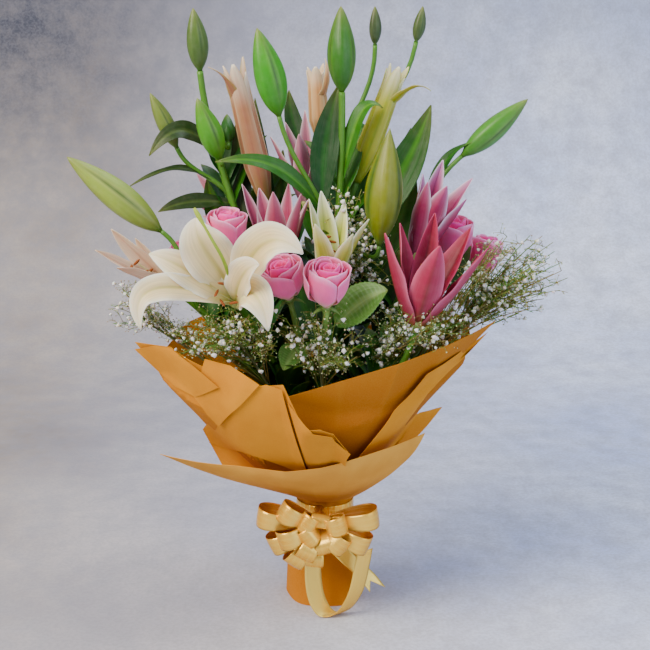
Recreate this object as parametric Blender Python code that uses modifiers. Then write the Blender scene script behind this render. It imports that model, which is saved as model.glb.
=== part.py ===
"""A hand-tied lily bouquet that stands on its cut stems, in a paper wrap with a ribbon bow.

Lengths are in metres unless a name says mm. The origin is the middle of the cut stems on the floor,
X points right as the bouquet is seen from the front, Y points away from the viewer and Z up.
"""
from collections import namedtuple
from math import cos, log, pi, radians, sin, sqrt, tau
from random import Random

import bmesh
import bpy
import numpy as np
from mathutils import Matrix, Vector
from mathutils.bvhtree import BVHTree

MM = 0.001
GAP = 0.4 * MM          # running gap between two pieces that touch
BUNDLE_GAP = 0.03 * MM  # the same between the round hulls of two stems in the bundle
BLADE = 1.0 * MM        # thickness of a petal, a leaf and a sheet of paper
UP = Vector((0, 0, 1))

TIE_HEIGHT = 105 * MM   # where string and ribbon hold the stems
STEM_SPREAD = 1.4       # how much wider the stems stand at the floor than at the tie
SLEEVE_RADIUS = 40 * MM

# The front view: it looks down by VIEW_TILT from VIEW_DISTANCE, with its middle VIEW_MIDDLE above
# the foot as the picture shows it.
VIEW_TILT = radians(16)
VIEW_DISTANCE = 1600
VIEW_MIDDLE = 265
VIEW_MIDDLE_HEIGHT = 289.4


def seen(across, up, behind=0.0):
    """The point that the front view shows `across` right of the foot and `up` above it, in mm as
    they measure beside the foot, and that lies `behind` mm further back than the foot."""
    slope = (up - VIEW_MIDDLE) / VIEW_DISTANCE
    tilt_cos, tilt_sin = cos(VIEW_TILT), sin(VIEW_TILT)
    height = slope * VIEW_DISTANCE + behind * (slope * tilt_cos - tilt_sin)
    height /= tilt_cos + slope * tilt_sin
    distance = VIEW_DISTANCE + behind * tilt_cos - height * tilt_sin
    x = across * distance / VIEW_DISTANCE
    return Vector((x, behind, height + VIEW_MIDDLE_HEIGHT)) * MM


# Scene and materials

for old in list(bpy.data.objects):
    bpy.data.objects.remove(old)

bouquet = bpy.data.collections.new("lily_bouquet")
bpy.context.scene.collection.children.link(bouquet)
bench = bpy.data.collections.new("pieces_to_join")
bpy.context.scene.collection.children.link(bench)

COLOURS = {
    "lily_green": ((0.10, 0.24, 0.05), 0.5),
    "rose_green": ((0.11, 0.27, 0.06), 0.5),
    "white_petal": ((0.86, 0.80, 0.66), 0.45),
    "faded_petal": ((0.78, 0.60, 0.48), 0.5),
    "pink_petal": ((0.75, 0.25, 0.32), 0.45),
    "deep_pink_petal": ((0.62, 0.07, 0.14), 0.45),
    "lavender_petal": ((0.52, 0.25, 0.42), 0.45),
    "peach_petal": ((0.72, 0.42, 0.28), 0.45),
    "pale_green_petal": ((0.70, 0.72, 0.36), 0.45),
    "rose_petal": ((0.85, 0.25, 0.40), 0.55),
    "gypsophila": ((0.55, 0.62, 0.42), 0.6),
    "paper": ((0.72, 0.42, 0.08), 0.8),
    "ribbon": ((0.85, 0.52, 0.10), 0.25),
    "string": ((0.45, 0.33, 0.18), 0.9),
}


def material(name):
    """The named finish as a Principled BSDF, made once."""
    found = bpy.data.materials.get(name)
    if found:
        return found
    (red, green, blue), roughness = COLOURS[name]
    made = bpy.data.materials.new(name)
    made.use_nodes = True
    shader = made.node_tree.nodes["Principled BSDF"]
    shader.inputs["Base Color"].default_value = (red, green, blue, 1)
    shader.inputs["Roughness"].default_value = roughness
    shader.inputs["Metallic"].default_value = 0.0
    return made


# Blender helpers. A loose piece is an object that waits to be joined in its node.

def loose(mesh):
    return bpy.data.objects.new("piece", mesh)


def from_bmesh(shape):
    mesh = bpy.data.meshes.new("piece")
    shape.to_mesh(mesh)
    shape.free()
    return loose(mesh)


def evaluated_mesh(piece, tools=()):
    """The piece's mesh with its modifiers applied. The tools are what a Boolean joins to it."""
    bpy.context.scene.collection.objects.link(piece)
    for tool in tools:
        bench.objects.link(tool)
    graph = bpy.context.evaluated_depsgraph_get()
    mesh = bpy.data.meshes.new_from_object(piece.evaluated_get(graph))
    for used in (piece, *tools):
        bpy.data.objects.remove(used)
    return mesh


def joined(pieces):
    """One Boolean union of all the pieces."""
    first, *others = pieces
    if others:
        join = first.modifiers.new("join", "BOOLEAN")
        join.operation = "UNION"
        join.operand_type = "COLLECTION"
        join.collection = bench
        join.solver = "MANIFOLD"
    return evaluated_mesh(first, others)


def islands(shape):
    """The separate closed surfaces of a bmesh, each as its list of faces."""
    left, found = set(shape.faces), []
    while left:
        todo, island = [left.pop()], []
        while todo:
            face = todo.pop()
            island.append(face)
            for edge in face.edges:
                near = [other for other in edge.link_faces if other in left]
                left.difference_update(near)
                todo += near
        found.append(island)
    return found


def keep_largest(mesh):
    """Fills the pockets that a union sealed and drops a loose scrap."""
    shape = bmesh.new()
    shape.from_mesh(mesh)
    found = sorted(islands(shape), key=lambda island: sum(face.calc_area() for face in island))
    scraps = [face for island in found[:-1] for face in island]
    bmesh.ops.delete(shape, geom=scraps, context="FACES")
    shape.to_mesh(mesh)
    shape.free()


def node(name, pieces, finish, origin):
    """Makes one closed solid of the pieces. The object's own origin is where it sits on what
    carries it."""
    mesh = joined(pieces)
    keep_largest(mesh)
    mesh.materials.clear()
    mesh.materials.append(material(finish))
    mesh.transform(Matrix.Translation(-Vector(origin)))
    mesh.shade_smooth()
    mesh.set_sharp_from_angle(angle=radians(40))
    made = bpy.data.objects.new(name, mesh)
    made.location = origin
    bouquet.objects.link(made)


def tube(points, radii, sides=6, cyclic=False):
    """A round stem or string along the points, with a radius at each. A stem that starts on the
    floor is cut flat there."""
    curve = bpy.data.curves.new("tube", "CURVE")
    curve.dimensions = "3D"
    curve.bevel_depth = radii[0]
    curve.bevel_resolution = (sides - 4) // 2
    curve.use_fill_caps = not cyclic
    spline = curve.splines.new("POLY")
    spline.use_cyclic_u = cyclic
    spline.points.add(len(points) - 1)
    for place, point, radius in zip(spline.points, points, radii):
        place.co = (*point, 1)
        place.radius = radius / radii[0]
    shape = bmesh.new()
    shape.from_mesh(evaluated_mesh(bpy.data.objects.new("tube", curve)))
    bmesh.ops.remove_doubles(shape, verts=shape.verts, dist=1e-6)
    bmesh.ops.recalc_face_normals(shape, faces=shape.faces)
    if points[0].z == 0:
        for vert in shape.verts:
            if vert.co.z < 2 * MM:
                vert.co.z = 0
    return from_bmesh(shape)


def sheet(place, along, across, thickness=BLADE, closed=False):
    """A thin solid: `place` sends arrays u from 0 to 1 and v from -1 to 1 to points in space. A
    closed sheet is sewn where v = -1 meets v = 1."""
    shape = bmesh.new()
    bmesh.ops.create_grid(shape, x_segments=along, y_segments=across, size=1)
    u = np.array([(vert.co.x + 1) / 2 for vert in shape.verts])
    v = np.array([vert.co.y for vert in shape.verts])
    for vert, point in zip(shape.verts, place(u, v)):
        vert.co = point
    if closed:
        bmesh.ops.remove_doubles(shape, verts=shape.verts, dist=1e-5)
    bmesh.ops.triangulate(shape, faces=shape.faces)
    piece = from_bmesh(shape)
    wall = piece.modifiers.new("thickness", "SOLIDIFY")
    wall.thickness = thickness
    wall.offset = 0
    return loose(evaluated_mesh(piece))


def turned_to(axis):
    """The turn that brings +Z to the axis."""
    return Vector(axis).to_track_quat("Z", "Y").to_matrix().to_4x4()


def cone(base, axis, low, high, length, sides=6):
    """A cone frustum that stands on `base` and points along `axis`."""
    shape = bmesh.new()
    bmesh.ops.create_cone(
        shape, cap_ends=True, segments=sides, radius1=low, radius2=high, depth=length,
        matrix=Matrix.Translation(base) @ turned_to(axis) @ Matrix.Translation((0, 0, length / 2)))
    return from_bmesh(shape)


def spindle(base, tip, width, profile, rings=6):
    """A six-sided body between base and tip whose radius follows `profile` over its height."""
    length = (tip - base).length
    shape = bmesh.new()
    bmesh.ops.create_uvsphere(shape, u_segments=6, v_segments=rings, radius=1)
    for vert in shape.verts:
        height = (vert.co.z + 1) / 2
        flat = Vector((vert.co.x, vert.co.y, 0))
        if flat.length > 1e-6:
            flat = flat.normalized() * width / 2 * profile(height)
        vert.co = flat + UP * height * length
    shape.transform(Matrix.Translation(base) @ turned_to(tip - base))
    return from_bmesh(shape)


# Curves and blades

def unit(vectors):
    return vectors / np.maximum(np.linalg.norm(vectors, axis=-1, keepdims=True), 1e-9)


def bezier(points, t):
    """A cubic Bezier curve and its direction at the shares t of its way."""
    a, b, c, d = (np.array(point, float) for point in points)
    t = np.asarray(t, float)[:, None]
    s = 1 - t
    place = s**3 * a + 3 * s**2 * t * b + 3 * s * t**2 * c + t**3 * d
    way = s**2 * (b - a) + 2 * s * t * (c - b) + t**2 * (d - c)
    return place, unit(way)


def blade_form(spine, half_width, facing, peak=0.5, root=0.25, cup=0.3):
    """The form of a petal or leaf along a cubic Bezier spine. Its half width follows a sine that is
    highest at `peak` and starts at `root` of the full width. `facing` gives the direction of its
    upper side, as one vector or as a function of the points of its midrib, and `cup` bends its
    edges that way."""
    power = log(0.5) / log(peak)

    def place(u, v):
        middle, way = bezier(spine, u)
        toward = facing(middle) if callable(facing) else np.array(facing, float)
        side = unit(np.cross(way, np.broadcast_to(toward, middle.shape)))
        upper = np.cross(side, way)
        width = np.sin(pi * np.clip(u, 0, 1)**power)**0.8 + root * (1 - u)**2
        width = half_width * np.maximum(width, 0.045)
        return (middle + side * (v * width)[:, None]
                + upper * (cup * np.abs(v)**1.5 * width)[:, None])

    return place


def blade(*form, along=4, across=2, **shape):
    return sheet(blade_form(*form, **shape), along, across)


# What the bouquet holds

Head = namedtuple("Head", "name kind base tip width fork")
Leaf = namedtuple("Leaf", "root middle tip width facing")
Stem = namedtuple("Stem", "name radius heads leaves")

TO_FRONT = (0.0, -1.0, 0.35)
UPWARD = (0.0, -0.35, 1.0)

LILY_STEMS = [
    Stem("lily_stem_left", 4.6, [
        Head("lily_faded", "bloom", (-150, 300, -32), (-214, 346, -66), 9.5, 1),
        Head("left_bud", "bud", (-164, 359, -24), (-258, 433, -30), 31, 0.62),
    ], []),
    Stem("lily_stem_back_left", 4.8, [
        Head("top_left_bud", "bud", (-125, 519, 42), (-132, 582, 42), 22, 1),
        Head("green_bud", "bud", (-105, 430, 18), (-128, 492, 4), 25, 0.62),
        Head("young_bud", "bud", (-97, 447, 48), (-98, 476, 66), 16, 0.66),
        Head("olive_bud", "bud", (-148, 442, 34), (-175, 497, 34), 18, 0.50),
    ], [
        Leaf((-118, 430, 38), (-150, 475, 24), (-176, 434, 12), 17, UPWARD),
        Leaf((-108, 415, 36), (-150, 432, 26), (-198, 402, 10), 10, UPWARD),
        Leaf((-105, 378, 36), (-140, 392, 26), (-167, 378, 14), 16, UPWARD),
        Leaf((-84, 350, 30), (-84, 420, 48), (-88, 474, 62), 20, TO_FRONT),
    ]),
    Stem("lily_stem_peach", 4.7, [
        Head("lily_peach_long", "trumpet", (-58, 383, 28), (-93, 531, 44), 25, 1),
        Head("lily_pink", "bloom", (-45, 305, -30), (-54, 402, -26), 12, 0.60),
    ], [
        Leaf((-50, 330, 20), (-66, 430, 52), (-70, 492, 74), 17, TO_FRONT),
    ]),
    Stem("lily_stem_white", 4.7, [
        Head("lily_white_open", "white", (-86, 284, -58), (-104, 306, -100), 0, 1),
    ], []),
    Stem("lily_stem_half_white", 4.5, [
        Head("lily_white_opening", "bloom", (5, 298, -50), (10, 382, -54), 12, 1),
    ], []),
    Stem("lily_stem_centre", 4.8, [
        Head("centre_bud", "bud", (17, 498, 18), (16, 584, 26), 30, 1),
        Head("bright_bud", "bud", (-46, 474, -14), (-68, 562, -18), 31, 0.42),
    ], [
        Leaf((-8, 372, 0), (-50, 440, -24), (-110, 428, -34), 15, UPWARD),
        Leaf((2, 385, 6), (-2, 450, 14), (14, 506, 26), 26, TO_FRONT),
        Leaf((8, 405, 8), (36, 500, 14), (58, 482, 18), 18, UPWARD),
    ]),
    Stem("lily_stem_lavender", 4.6, [
        Head("lily_peach_short", "trumpet", (-4, 448, 78), (-10, 526, 88), 20, 1),
        Head("lily_mauve", "bloom", (-17, 378, 38), (-26, 462, 42), 10, 0.66),
        Head("top_small_bud", "bud", (50, 545, 84), (50, 584, 84), 13, 0.60),
        Head("top_right_bud", "bud", (91, 548, 72), (98, 584, 72), 13, 0.56),
    ], [
        Leaf((-8, 400, 66), (-36, 470, 96), (-36, 500, 104), 18, TO_FRONT),
        Leaf((6, 420, 70), (30, 470, 104), (44, 458, 112), 18, TO_FRONT),
    ]),
    Stem("lily_stem_yellow", 4.8, [
        Head("lily_green_white", "trumpet", (31, 408, 30), (75, 527, 50), 23, 1),
        Head("yellow_bud", "bud", (54, 344, -32), (65, 462, -22), 40, 0.56),
    ], [
        Leaf((64, 370, 34), (84, 430, 40), (106, 485, 48), 32, TO_FRONT),
    ]),
    Stem("lily_stem_right", 4.6, [
        Head("lily_lavender", "bloom", (88, 330, 2), (116, 410, 0), 13.5, 1),
        Head("right_bud", "bud", (137, 434, 34), (203, 491, 34), 24, 0.58),
    ], [
        Leaf((96, 384, 40), (120, 440, 50), (154, 450, 24), 15, UPWARD),
    ]),
    Stem("lily_stem_deep_pink", 4.6, [
        Head("lily_deep_pink", "bloom", (89, 258, -75), (112, 358, -72), 15, 1),
    ], []),
    Stem("lily_stem_back", 4.5, [
        Head("lily_mauve_back", "bloom", (-74, 352, 92), (-116, 404, 128), 10, 1),
    ], []),
]

# Where the six tips of each half-open lily are seen, in order round the flower, and how far its
# petals bulge out above its foot, in mm.
TIPS = {
    "lily_faded": ([(-230, 340, -62), (-214, 361, -42), (-190, 352, -22),
                    (-176, 322, -34), (-190, 306, -62), (-208, 322, -76)], 8),
    "lily_pink": ([(-83, 406, -4), (-66, 402, 8), (-36, 408, -2),
                   (-17, 390, -22), (-24, 396, -52), (-52, 398, -54)], 15),
    "lily_white_opening": ([(-16, 391, -44), (-4, 399, -26), (20, 388, -28),
                            (44, 371, -62), (28, 356, -84), (-10, 366, -82)], 12),
    "lily_mauve": ([(-54, 453, 34), (-40, 468, 56), (-20, 480, 60),
                    (2, 462, 50), (-2, 457, 24), (-26, 456, 18)], 9),
    "lily_lavender": ([(103, 408, -24), (98, 416, 10), (118, 430, 24),
                       (148, 412, 18), (141, 391, -12), (122, 404, -30)], 15),
    "lily_deep_pink": ([(60, 357, -92), (75, 367, -56), (110, 377, -40),
                        (146, 362, -46), (163, 342, -80), (115, 344, -114)], 22),
    "lily_mauve_back": ([(-128, 416, 112), (-104, 430, 118), (-84, 414, 134),
                         (-92, 384, 150), (-122, 374, 150), (-140, 394, 134)], 11),
}

# The open white lily's petals: the two points that bend each, its tip and its half width.
WHITE_PETALS = [
    ((-100, 322, -82), (-134, 346, -104), (-129, 372, -86), 23),
    ((-114, 302, -86), (-146, 330, -104), (-176, 336, -90), 15),
    ((-124, 302, -98), (-206, 324, -118), (-184, 260, -124), 13),
    ((-86, 322, -92), (-62, 376, -126), (-22, 336, -130), 19),
    ((-92, 296, -100), (-84, 326, -130), (-66, 325, -146), 15),
    ((-88, 294, -100), (-66, 318, -142), (-57, 259, -138), 17),
]

# The one petal of a trumpet lily that has curled away already.
CURLS = {
    "lily_peach_long": ((-92, 488, 34), (-92, 514, 28), (-117, 523, 26)),
    "lily_peach_short": ((-2, 486, 74), (6, 510, 72), (0, 532, 70)),
    "lily_green_white": ((72, 490, 34), (90, 514, 26), (106, 499, 24)),
}

FINISH = {
    "lily_faded": "faded_petal", "lily_white_open": "white_petal",
    "lily_white_opening": "white_petal", "lily_pink": "pink_petal",
    "lily_deep_pink": "deep_pink_petal", "lily_mauve_back": "lavender_petal",
    "lily_lavender": "lavender_petal", "lily_mauve": "lavender_petal",
    "lily_peach_long": "peach_petal", "lily_peach_short": "peach_petal",
    "lily_green_white": "pale_green_petal",
}

Rose = namedtuple("Rose", "name base tip radius")
ROSES = [
    Rose("rose_left", (-99, 334, -22), (-97, 382, -31), 21.5),
    Rose("rose_middle", (-36, 292, -62), (-47, 330, -76), 25),
    Rose("rose_front", (1, 284, -92), (4, 328, -108), 24),
    Rose("rose_hidden", (-130, 312, 14), (-145, 350, 11), 19),
    Rose("rose_right", (126, 328, 48), (132, 374, 38), 22),
    Rose("rose_far_right", (155, 314, 62), (164, 356, 67), 20),
]

# A broad leaflet on a rose stem: where it leaves the stem, its way and its length.
ROSE_LEAVES = {
    "rose_front": [((20, 244, -96), (0.76, -0.10, 0.55), 56)],
    "rose_middle": [((-36, 226, -62), (-0.3, -0.62, -0.25), 40)],
    "rose_right": [((96, 262, 30), (0.5, 0.75, 0.35), 46)],
    "rose_far_right": [((80, 228, 62), (0.35, 0.85, 0.4), 50)],
    "rose_hidden": [((-96, 262, 12), (-0.55, 0.8, 0.1), 44)],
}

Spray = namedtuple("Spray", "name centre reach branches")
SPRAYS = [
    Spray("gypsophila_right", (193, 313, 10), (55, 50, 42), 8),
    Spray("gypsophila_left", (-196, 282, -14), (28, 24, 26), 3),
    Spray("gypsophila_front_left", (-108, 254, -88), (56, 28, 20), 4),
    Spray("gypsophila_front", (-8, 250, -98), (48, 34, 18), 4),
    Spray("gypsophila_front_right", (98, 262, -70), (48, 26, 20), 4),
    Spray("gypsophila_centre", (18, 378, -2), (24, 34, 16), 2),
    Spray("gypsophila_back", (14, 330, 116), (88, 42, 24), 4),
]

ROSE_STEM = 3.0 * MM
SPRAY_STEM = 1.8 * MM
BRANCH = 2.6 * MM


# Where the stems stand in the bundle. The more a stem leans out, the further out it stands.

LEAN_SPREAD = 38 * MM
SPRAYS_OUT = 2.0      # gypsophila is slipped in last, so it stands further out

# Stems that the string presses further in than the round hulls allow, and by how many mm.
SNUG = {"lily_stem_back": 0.2}


def packed(places, radii, middle):
    """Moves circles apart until they only just clear each other, and pulls them to the one whose
    index is `middle`."""
    places, radii = np.array(places, float), np.array(radii, float)
    need = radii[:, None] + radii[None, :] + BUNDLE_GAP
    np.fill_diagonal(need, 0)
    for step in range(1500):
        places -= places * (0.004 if step < 1200 else 0)
        offset = places[:, None, :] - places[None, :, :]
        distance = np.sqrt((offset**2).sum(-1)) + 1e-9
        push = np.maximum(need - distance, 0) / distance
        places += 0.35 * (offset * push[..., None]).sum(1)
        places[middle] = 0
    return places


bundle = [(stem.name, stem.heads[0].base, stem.radius * MM, 1) for stem in LILY_STEMS]
bundle += [(rose.name, rose.base, ROSE_STEM, 1) for rose in ROSES]
bundle += [(spray.name, spray.centre, SPRAY_STEM, SPRAYS_OUT) for spray in SPRAYS]


def lean(point):
    """How far a stem to the point leans right and back for its rise above the tie."""
    rise = point.z - TIE_HEIGHT
    return point.x / rise, point.y / rise


names, bases, radii, outs = zip(*bundle)
loose_slots = [np.array(lean(seen(*base))) * LEAN_SPREAD * out for base, out in zip(bases, outs)]
slots = packed(loose_slots, radii, names.index("lily_stem_centre"))
SLOT = {name: Vector((*slot, 0)) for name, slot in zip(names, slots)}
for name, inward in SNUG.items():
    SLOT[name] -= SLOT[name].normalized() * inward * MM
BUNDLE_RADIUS = max(SLOT[name].length + radius for name, radius in zip(names, radii))


LAST_STRETCH = 4 * MM    # the end of a stem that points exactly along its flower


def foot(name):
    """Where a stem's cut end stands on the floor."""
    return SLOT[name] * STEM_SPREAD


def stem_path(name, end, axis, steps=4, neck_share=0.26, swing=Vector()):
    """Points from the cut end, through the tie, to `end`, where the stem points along `axis`. A
    larger neck share makes it turn to its end sooner, and `swing` bends it above the tie."""
    slot = SLOT[name]
    tie = slot + UP * TIE_HEIGHT
    reach = (end - tie).length
    outward = (Vector((slot.x, slot.y, 0)) + swing + UP * reach * 0.5).normalized()
    neck = end - axis * LAST_STRETCH
    points, _ = bezier((tie, tie + outward * reach * 0.36, neck - axis * reach * neck_share, neck),
                       np.linspace(0, 1, steps))
    return [foot(name), *(Vector(point) for point in points), end]


def branch_path(root, way, end, axis, steps=3):
    reach = (end - root).length
    neck = end - axis * LAST_STRETCH
    points, _ = bezier((root, root + way * reach * 0.35, neck - axis * reach * 0.34, neck),
                       np.linspace(0, 1, steps))
    return [*(Vector(point) for point in points), end]


def along_path(path, share):
    """The point and the direction at a share of a path's points above the tie."""
    spot = 1 + share * (len(path) - 2)
    low = min(int(spot), len(path) - 2)
    way = path[low + 1] - path[low]
    return path[low] + way * (spot - low), way.normalized()


def nearest(paths, point):
    """The point on any of the paths that lies nearest to `point`."""
    found = []
    for path in paths:
        for start, end in zip(path, path[1:]):
            way = end - start
            share = max(0, min(1, (point - start).dot(way) / way.length_squared))
            found.append(start + way * share)
    return min(found, key=lambda spot: (spot - point).length)


# Lily buds, flowers and leaves

BUD_HEIGHTS = (0.08, 0.30, 0.60, 0.87, 1.0)


def bud_profile(height):
    """A bud's radius, as a share of its largest, at a share of its height. Its point is blunt."""
    return max(sin(pi * min(height, 1)**0.92), 0.008) ** 0.62 * (1.06 - 0.25 * height)


TRUMPET_TIPS = 3


def trumpet_profile(height):
    """The same for a lily that is about to open: a long tube with a rounded top."""
    return min(1, 0.32 + 2.4 * height) * (1.1 - 0.34 * height) * (1 - height**9)**0.5


def receptacle(base, axis):
    """The green-white foot that holds a flower's petals together. It is flat below."""
    return cone(base, axis, 3.6 * MM, 6.4 * MM, 12 * MM)


def half_open(name, base, axis, half_width):
    """Six petals that rise from a common foot, bulge and lean out to their tips. Every second one
    is inner, broader and nearer the axis, and all show the axis their upper side."""
    tips, bulge = TIPS[name]
    pieces = [receptacle(base, axis)]

    def inward(middle):
        off = np.array(base) - middle
        return off - (off @ np.array(axis))[:, None] * np.array(axis)

    for i, tip in enumerate(seen(*tip) for tip in tips):
        inner = i % 2
        reach = tip - base
        rise = reach.dot(axis)
        lean = (reach - axis * rise).length
        outward = (reach - axis * rise).normalized()
        swell = bulge * MM * (0.76 if inner else 1)
        spine = (base + axis * rise * (0.09 if inner else 0.04) + outward * 2 * MM,
                 base + axis * rise * 0.24 + outward * swell,
                 base + axis * rise * 0.70 + outward * (swell * 0.6 + lean * 0.55),
                 tip)
        wide = half_width * MM * (1.02 if inner else 0.90)
        pieces.append(blade(spine, wide, inward, peak=0.50, root=0.1, cup=0.25, along=3))
    return pieces


def white_open(base, axis):
    """The wide open lily: every petal goes its own way."""
    pieces = [receptacle(base, axis)]
    for first, second, tip, half_width in WHITE_PETALS:
        spine = (base + axis * 7 * MM, seen(*first), seen(*second), seen(*tip))
        pieces.append(blade(spine, half_width * MM, (-0.1, -1, 0.45), peak=0.56, root=0.2,
                            cup=0.16, along=3))
    return pieces


def trumpet(name, base, tip, axis, width):
    """A closed ribbed tube whose petal tips have begun to part, and one petal that has curled
    away."""
    length = (tip - base).length
    pieces = [spindle(base, base + axis * length * 0.93, width, trumpet_profile)]
    turn = turned_to(axis).to_3x3()
    for i in range(TRUMPET_TIPS):
        angle = tau * (i + 0.25) / TRUMPET_TIPS
        outward = turn @ Vector((cos(angle), sin(angle), 0))
        start = base + axis * length * 0.78 + outward * width * 0.30
        end = base + axis * length + outward * width * 0.44
        spine = (start, start + axis * length * 0.08 + outward * width * 0.12,
                 end - axis * length * 0.06 - outward * width * 0.1, end)
        pieces.append(blade(spine, width * 0.22, tuple(-outward), peak=0.35, root=0.6, cup=0.2,
                            along=3, across=1))
    first, second, last = (seen(*point) for point in CURLS[name])
    pieces.append(blade((base + axis * length * 0.6, first, second, last), width * 0.2,
                        tuple(first - second.lerp(last, 0.5) + axis), peak=0.4, root=0.6, cup=0.1,
                        across=1))
    return pieces


def leaf(spec, paths):
    """A lily leaf, rooted in the middle of the stem that carries it."""
    root = nearest(paths, seen(*spec.root))
    middle, tip = seen(*spec.middle), seen(*spec.tip)
    spine = (root, root.lerp(middle, 0.55), middle, tip)
    return blade(spine, spec.width / 2 * MM, spec.facing, peak=0.55, root=0.3, cup=0.2, along=3)


def tapered(points, radius, share):
    """Radii along the points, from `radius` to that share of it."""
    return list(np.linspace(radius, radius * share, len(points)))


# Everything that will be a node: its name, with its loose pieces, its finish and its origin.
Plan = namedtuple("Plan", "pieces finish origin")
plans = {}
stem_paths = {}


def flower(head, base, axis):
    if head.kind == "trumpet":
        pieces = trumpet(head.name, base, seen(*head.tip), axis, head.width * MM)
    elif head.kind == "white":
        pieces = white_open(base, axis)
    else:
        pieces = half_open(head.name, base, axis, head.width)
    plans[head.name] = Plan(pieces, FINISH[head.name], base)


def lily_stem(stem):
    """A stem with its branches, buds and leaves. Its flowers are nodes of their own, a gap off."""
    green, paths = [], []
    for head in stem.heads:
        base, tip = seen(*head.base), seen(*head.tip)
        axis = (tip - base).normalized()
        end = base if head.kind == "bud" else base - axis * GAP
        if paths:
            path = branch_path(*along_path(paths[0], head.fork), end, axis)
            radii = tapered(path, BRANCH, 0.9)
        else:
            path = stem_path(stem.name, end, axis)
            radii = tapered(path, stem.radius * MM, 0.66)
        paths.append(path)
        if head.kind == "bud":
            path = path + [base.lerp(tip, height) for height in BUD_HEIGHTS]
            radii += [bud_profile(height) * head.width / 2 * MM for height in BUD_HEIGHTS]
        else:
            flower(head, base, axis)
        green.append(tube(path, radii))
    green += [leaf(spec, paths) for spec in stem.leaves]
    stem_paths[stem.name] = paths
    plans[stem.name] = Plan(green, "lily_green", foot(stem.name))


for stem in LILY_STEMS:
    lily_stem(stem)


# Roses

INNER_PETALS = 3
OUTER_PETALS = 4


def rose_petal(radius, height, turn, half_angle, pitch, lip):
    """One petal as a piece of a cup in the rose's own frame: its radius grows from the foot up
    and by `pitch` from its left edge to its right, and its lip rolls out."""
    def place(u, v):
        angle = turn + np.radians(half_angle) * v * (0.5 + 0.5 * np.clip(u * 2, 0, 1))
        swell = 0.15 + 0.85 * np.sin(pi / 2 * u)**0.8
        reach = radius * swell + pitch * v * np.clip(u * 2, 0, 1) + lip * np.clip(u * 4 - 3, 0, 1)
        rise = 2 * MM + height * u * (1 - 0.12 * v**2)
        return np.stack([reach * np.cos(angle), reach * np.sin(angle), rise], -1)

    return place


def rose_head(spec, base, axis):
    """A spiral of inner petals round a closed heart, in a ring of outer petals."""
    height = (seen(*spec.tip) - base).length * 0.94
    radius = spec.radius * MM
    pieces = [cone(Vector(), UP, 3.6 * MM, radius * 0.44, 8 * MM),
              cone(UP * 5 * MM, UP, radius * 0.12, radius * 0.26, height * 0.88, sides=5)]
    for i in range(INNER_PETALS):
        share = (i + 1) / INNER_PETALS
        form = rose_petal(radius * (0.40 + 0.28 * share), height * (0.94 + 0.06 * share),
                          radians(137.5) * i, 72, radius * 0.02, 0)
        pieces.append(sheet(form, 2, 2))
    for i in range(OUTER_PETALS):
        outer = i % 2
        form = rose_petal(radius * (1.0 if outer else 0.84), height * (0.94 if outer else 1.0),
                          tau * i / OUTER_PETALS + 0.6, 55, 0, radius * 0.10)
        pieces.append(sheet(form, 2, 2))
    turn = Matrix.Translation(base) @ turned_to(axis)
    for piece in pieces:
        piece.data.transform(turn)
    plans[spec.name] = Plan(pieces, "rose_petal", base)


def sepals(calyx, axis):
    """The calyx with its five pointed green tongues, as a star that leans back to the stem."""
    shape = bmesh.new()
    bmesh.ops.create_cone(shape, cap_ends=True, segments=10, radius1=3 * MM, radius2=4.4 * MM,
                          depth=3 * MM)
    upper = sorted((vert for vert in shape.verts if vert.co.z > 0),
                   key=lambda vert: vert.co.to_2d().angle_signed(Vector((0, 1))))
    for vert in upper[::2]:
        vert.co = Vector((vert.co.x * 3.4, vert.co.y * 3.4, -5 * MM))
    shape.transform(Matrix.Translation(calyx) @ turned_to(axis))
    return from_bmesh(shape)


def leaflet(root, way, length):
    """A broad pointed leaflet that leaves the stem at `root`."""
    arch = UP * length * 0.12
    spine = (root, root + way * length * 0.3 + arch, root + way * length * 0.7 + arch,
             root + way * length)
    return blade(spine, length * 0.32, (0, -0.6, 0.8), peak=0.5, root=0.12, cup=0.12)


# Rose stems that bend round a neighbour above the tie, in mm.
ROSE_SWING = {"rose_middle": (11, 3, 0)}

for spec in ROSES:
    base = seen(*spec.base)
    axis = (seen(*spec.tip) - base).normalized()
    rose_head(spec, base, axis)
    path = stem_path(spec.name, base - axis * GAP, axis, neck_share=0.05,
                     swing=Vector(ROSE_SWING.get(spec.name, (0, 0, 0))) * MM)
    stem_paths[spec.name] = [path]
    radii = tapered(path, ROSE_STEM, 0.9)
    radii[-2:] = (4.0 * MM, 4.6 * MM)
    green = [tube(path, radii), sepals(path[-1] - axis * 4 * MM, axis)]
    for near, way, length in ROSE_LEAVES.get(spec.name, []):
        green.append(leaflet(nearest([path], seen(*near)), Vector(way).normalized(), length * MM))
    plans[spec.name + "_stem"] = Plan(green, "rose_green", foot(spec.name))


# String round the stems

STRING = 1.6 * MM
TIE_RADIUS = BUNDLE_RADIUS + GAP / 2 + STRING


def ring(radius, height, count):
    return [Vector((radius * cos(tau * i / count), radius * sin(tau * i / count), height))
            for i in range(count)]


plans["string_tie"] = Plan(
    [tube(ring(TIE_RADIUS, TIE_HEIGHT, 16), [STRING] * 16, sides=4, cyclic=True)], "string",
    (0, 0, TIE_HEIGHT))


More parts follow.
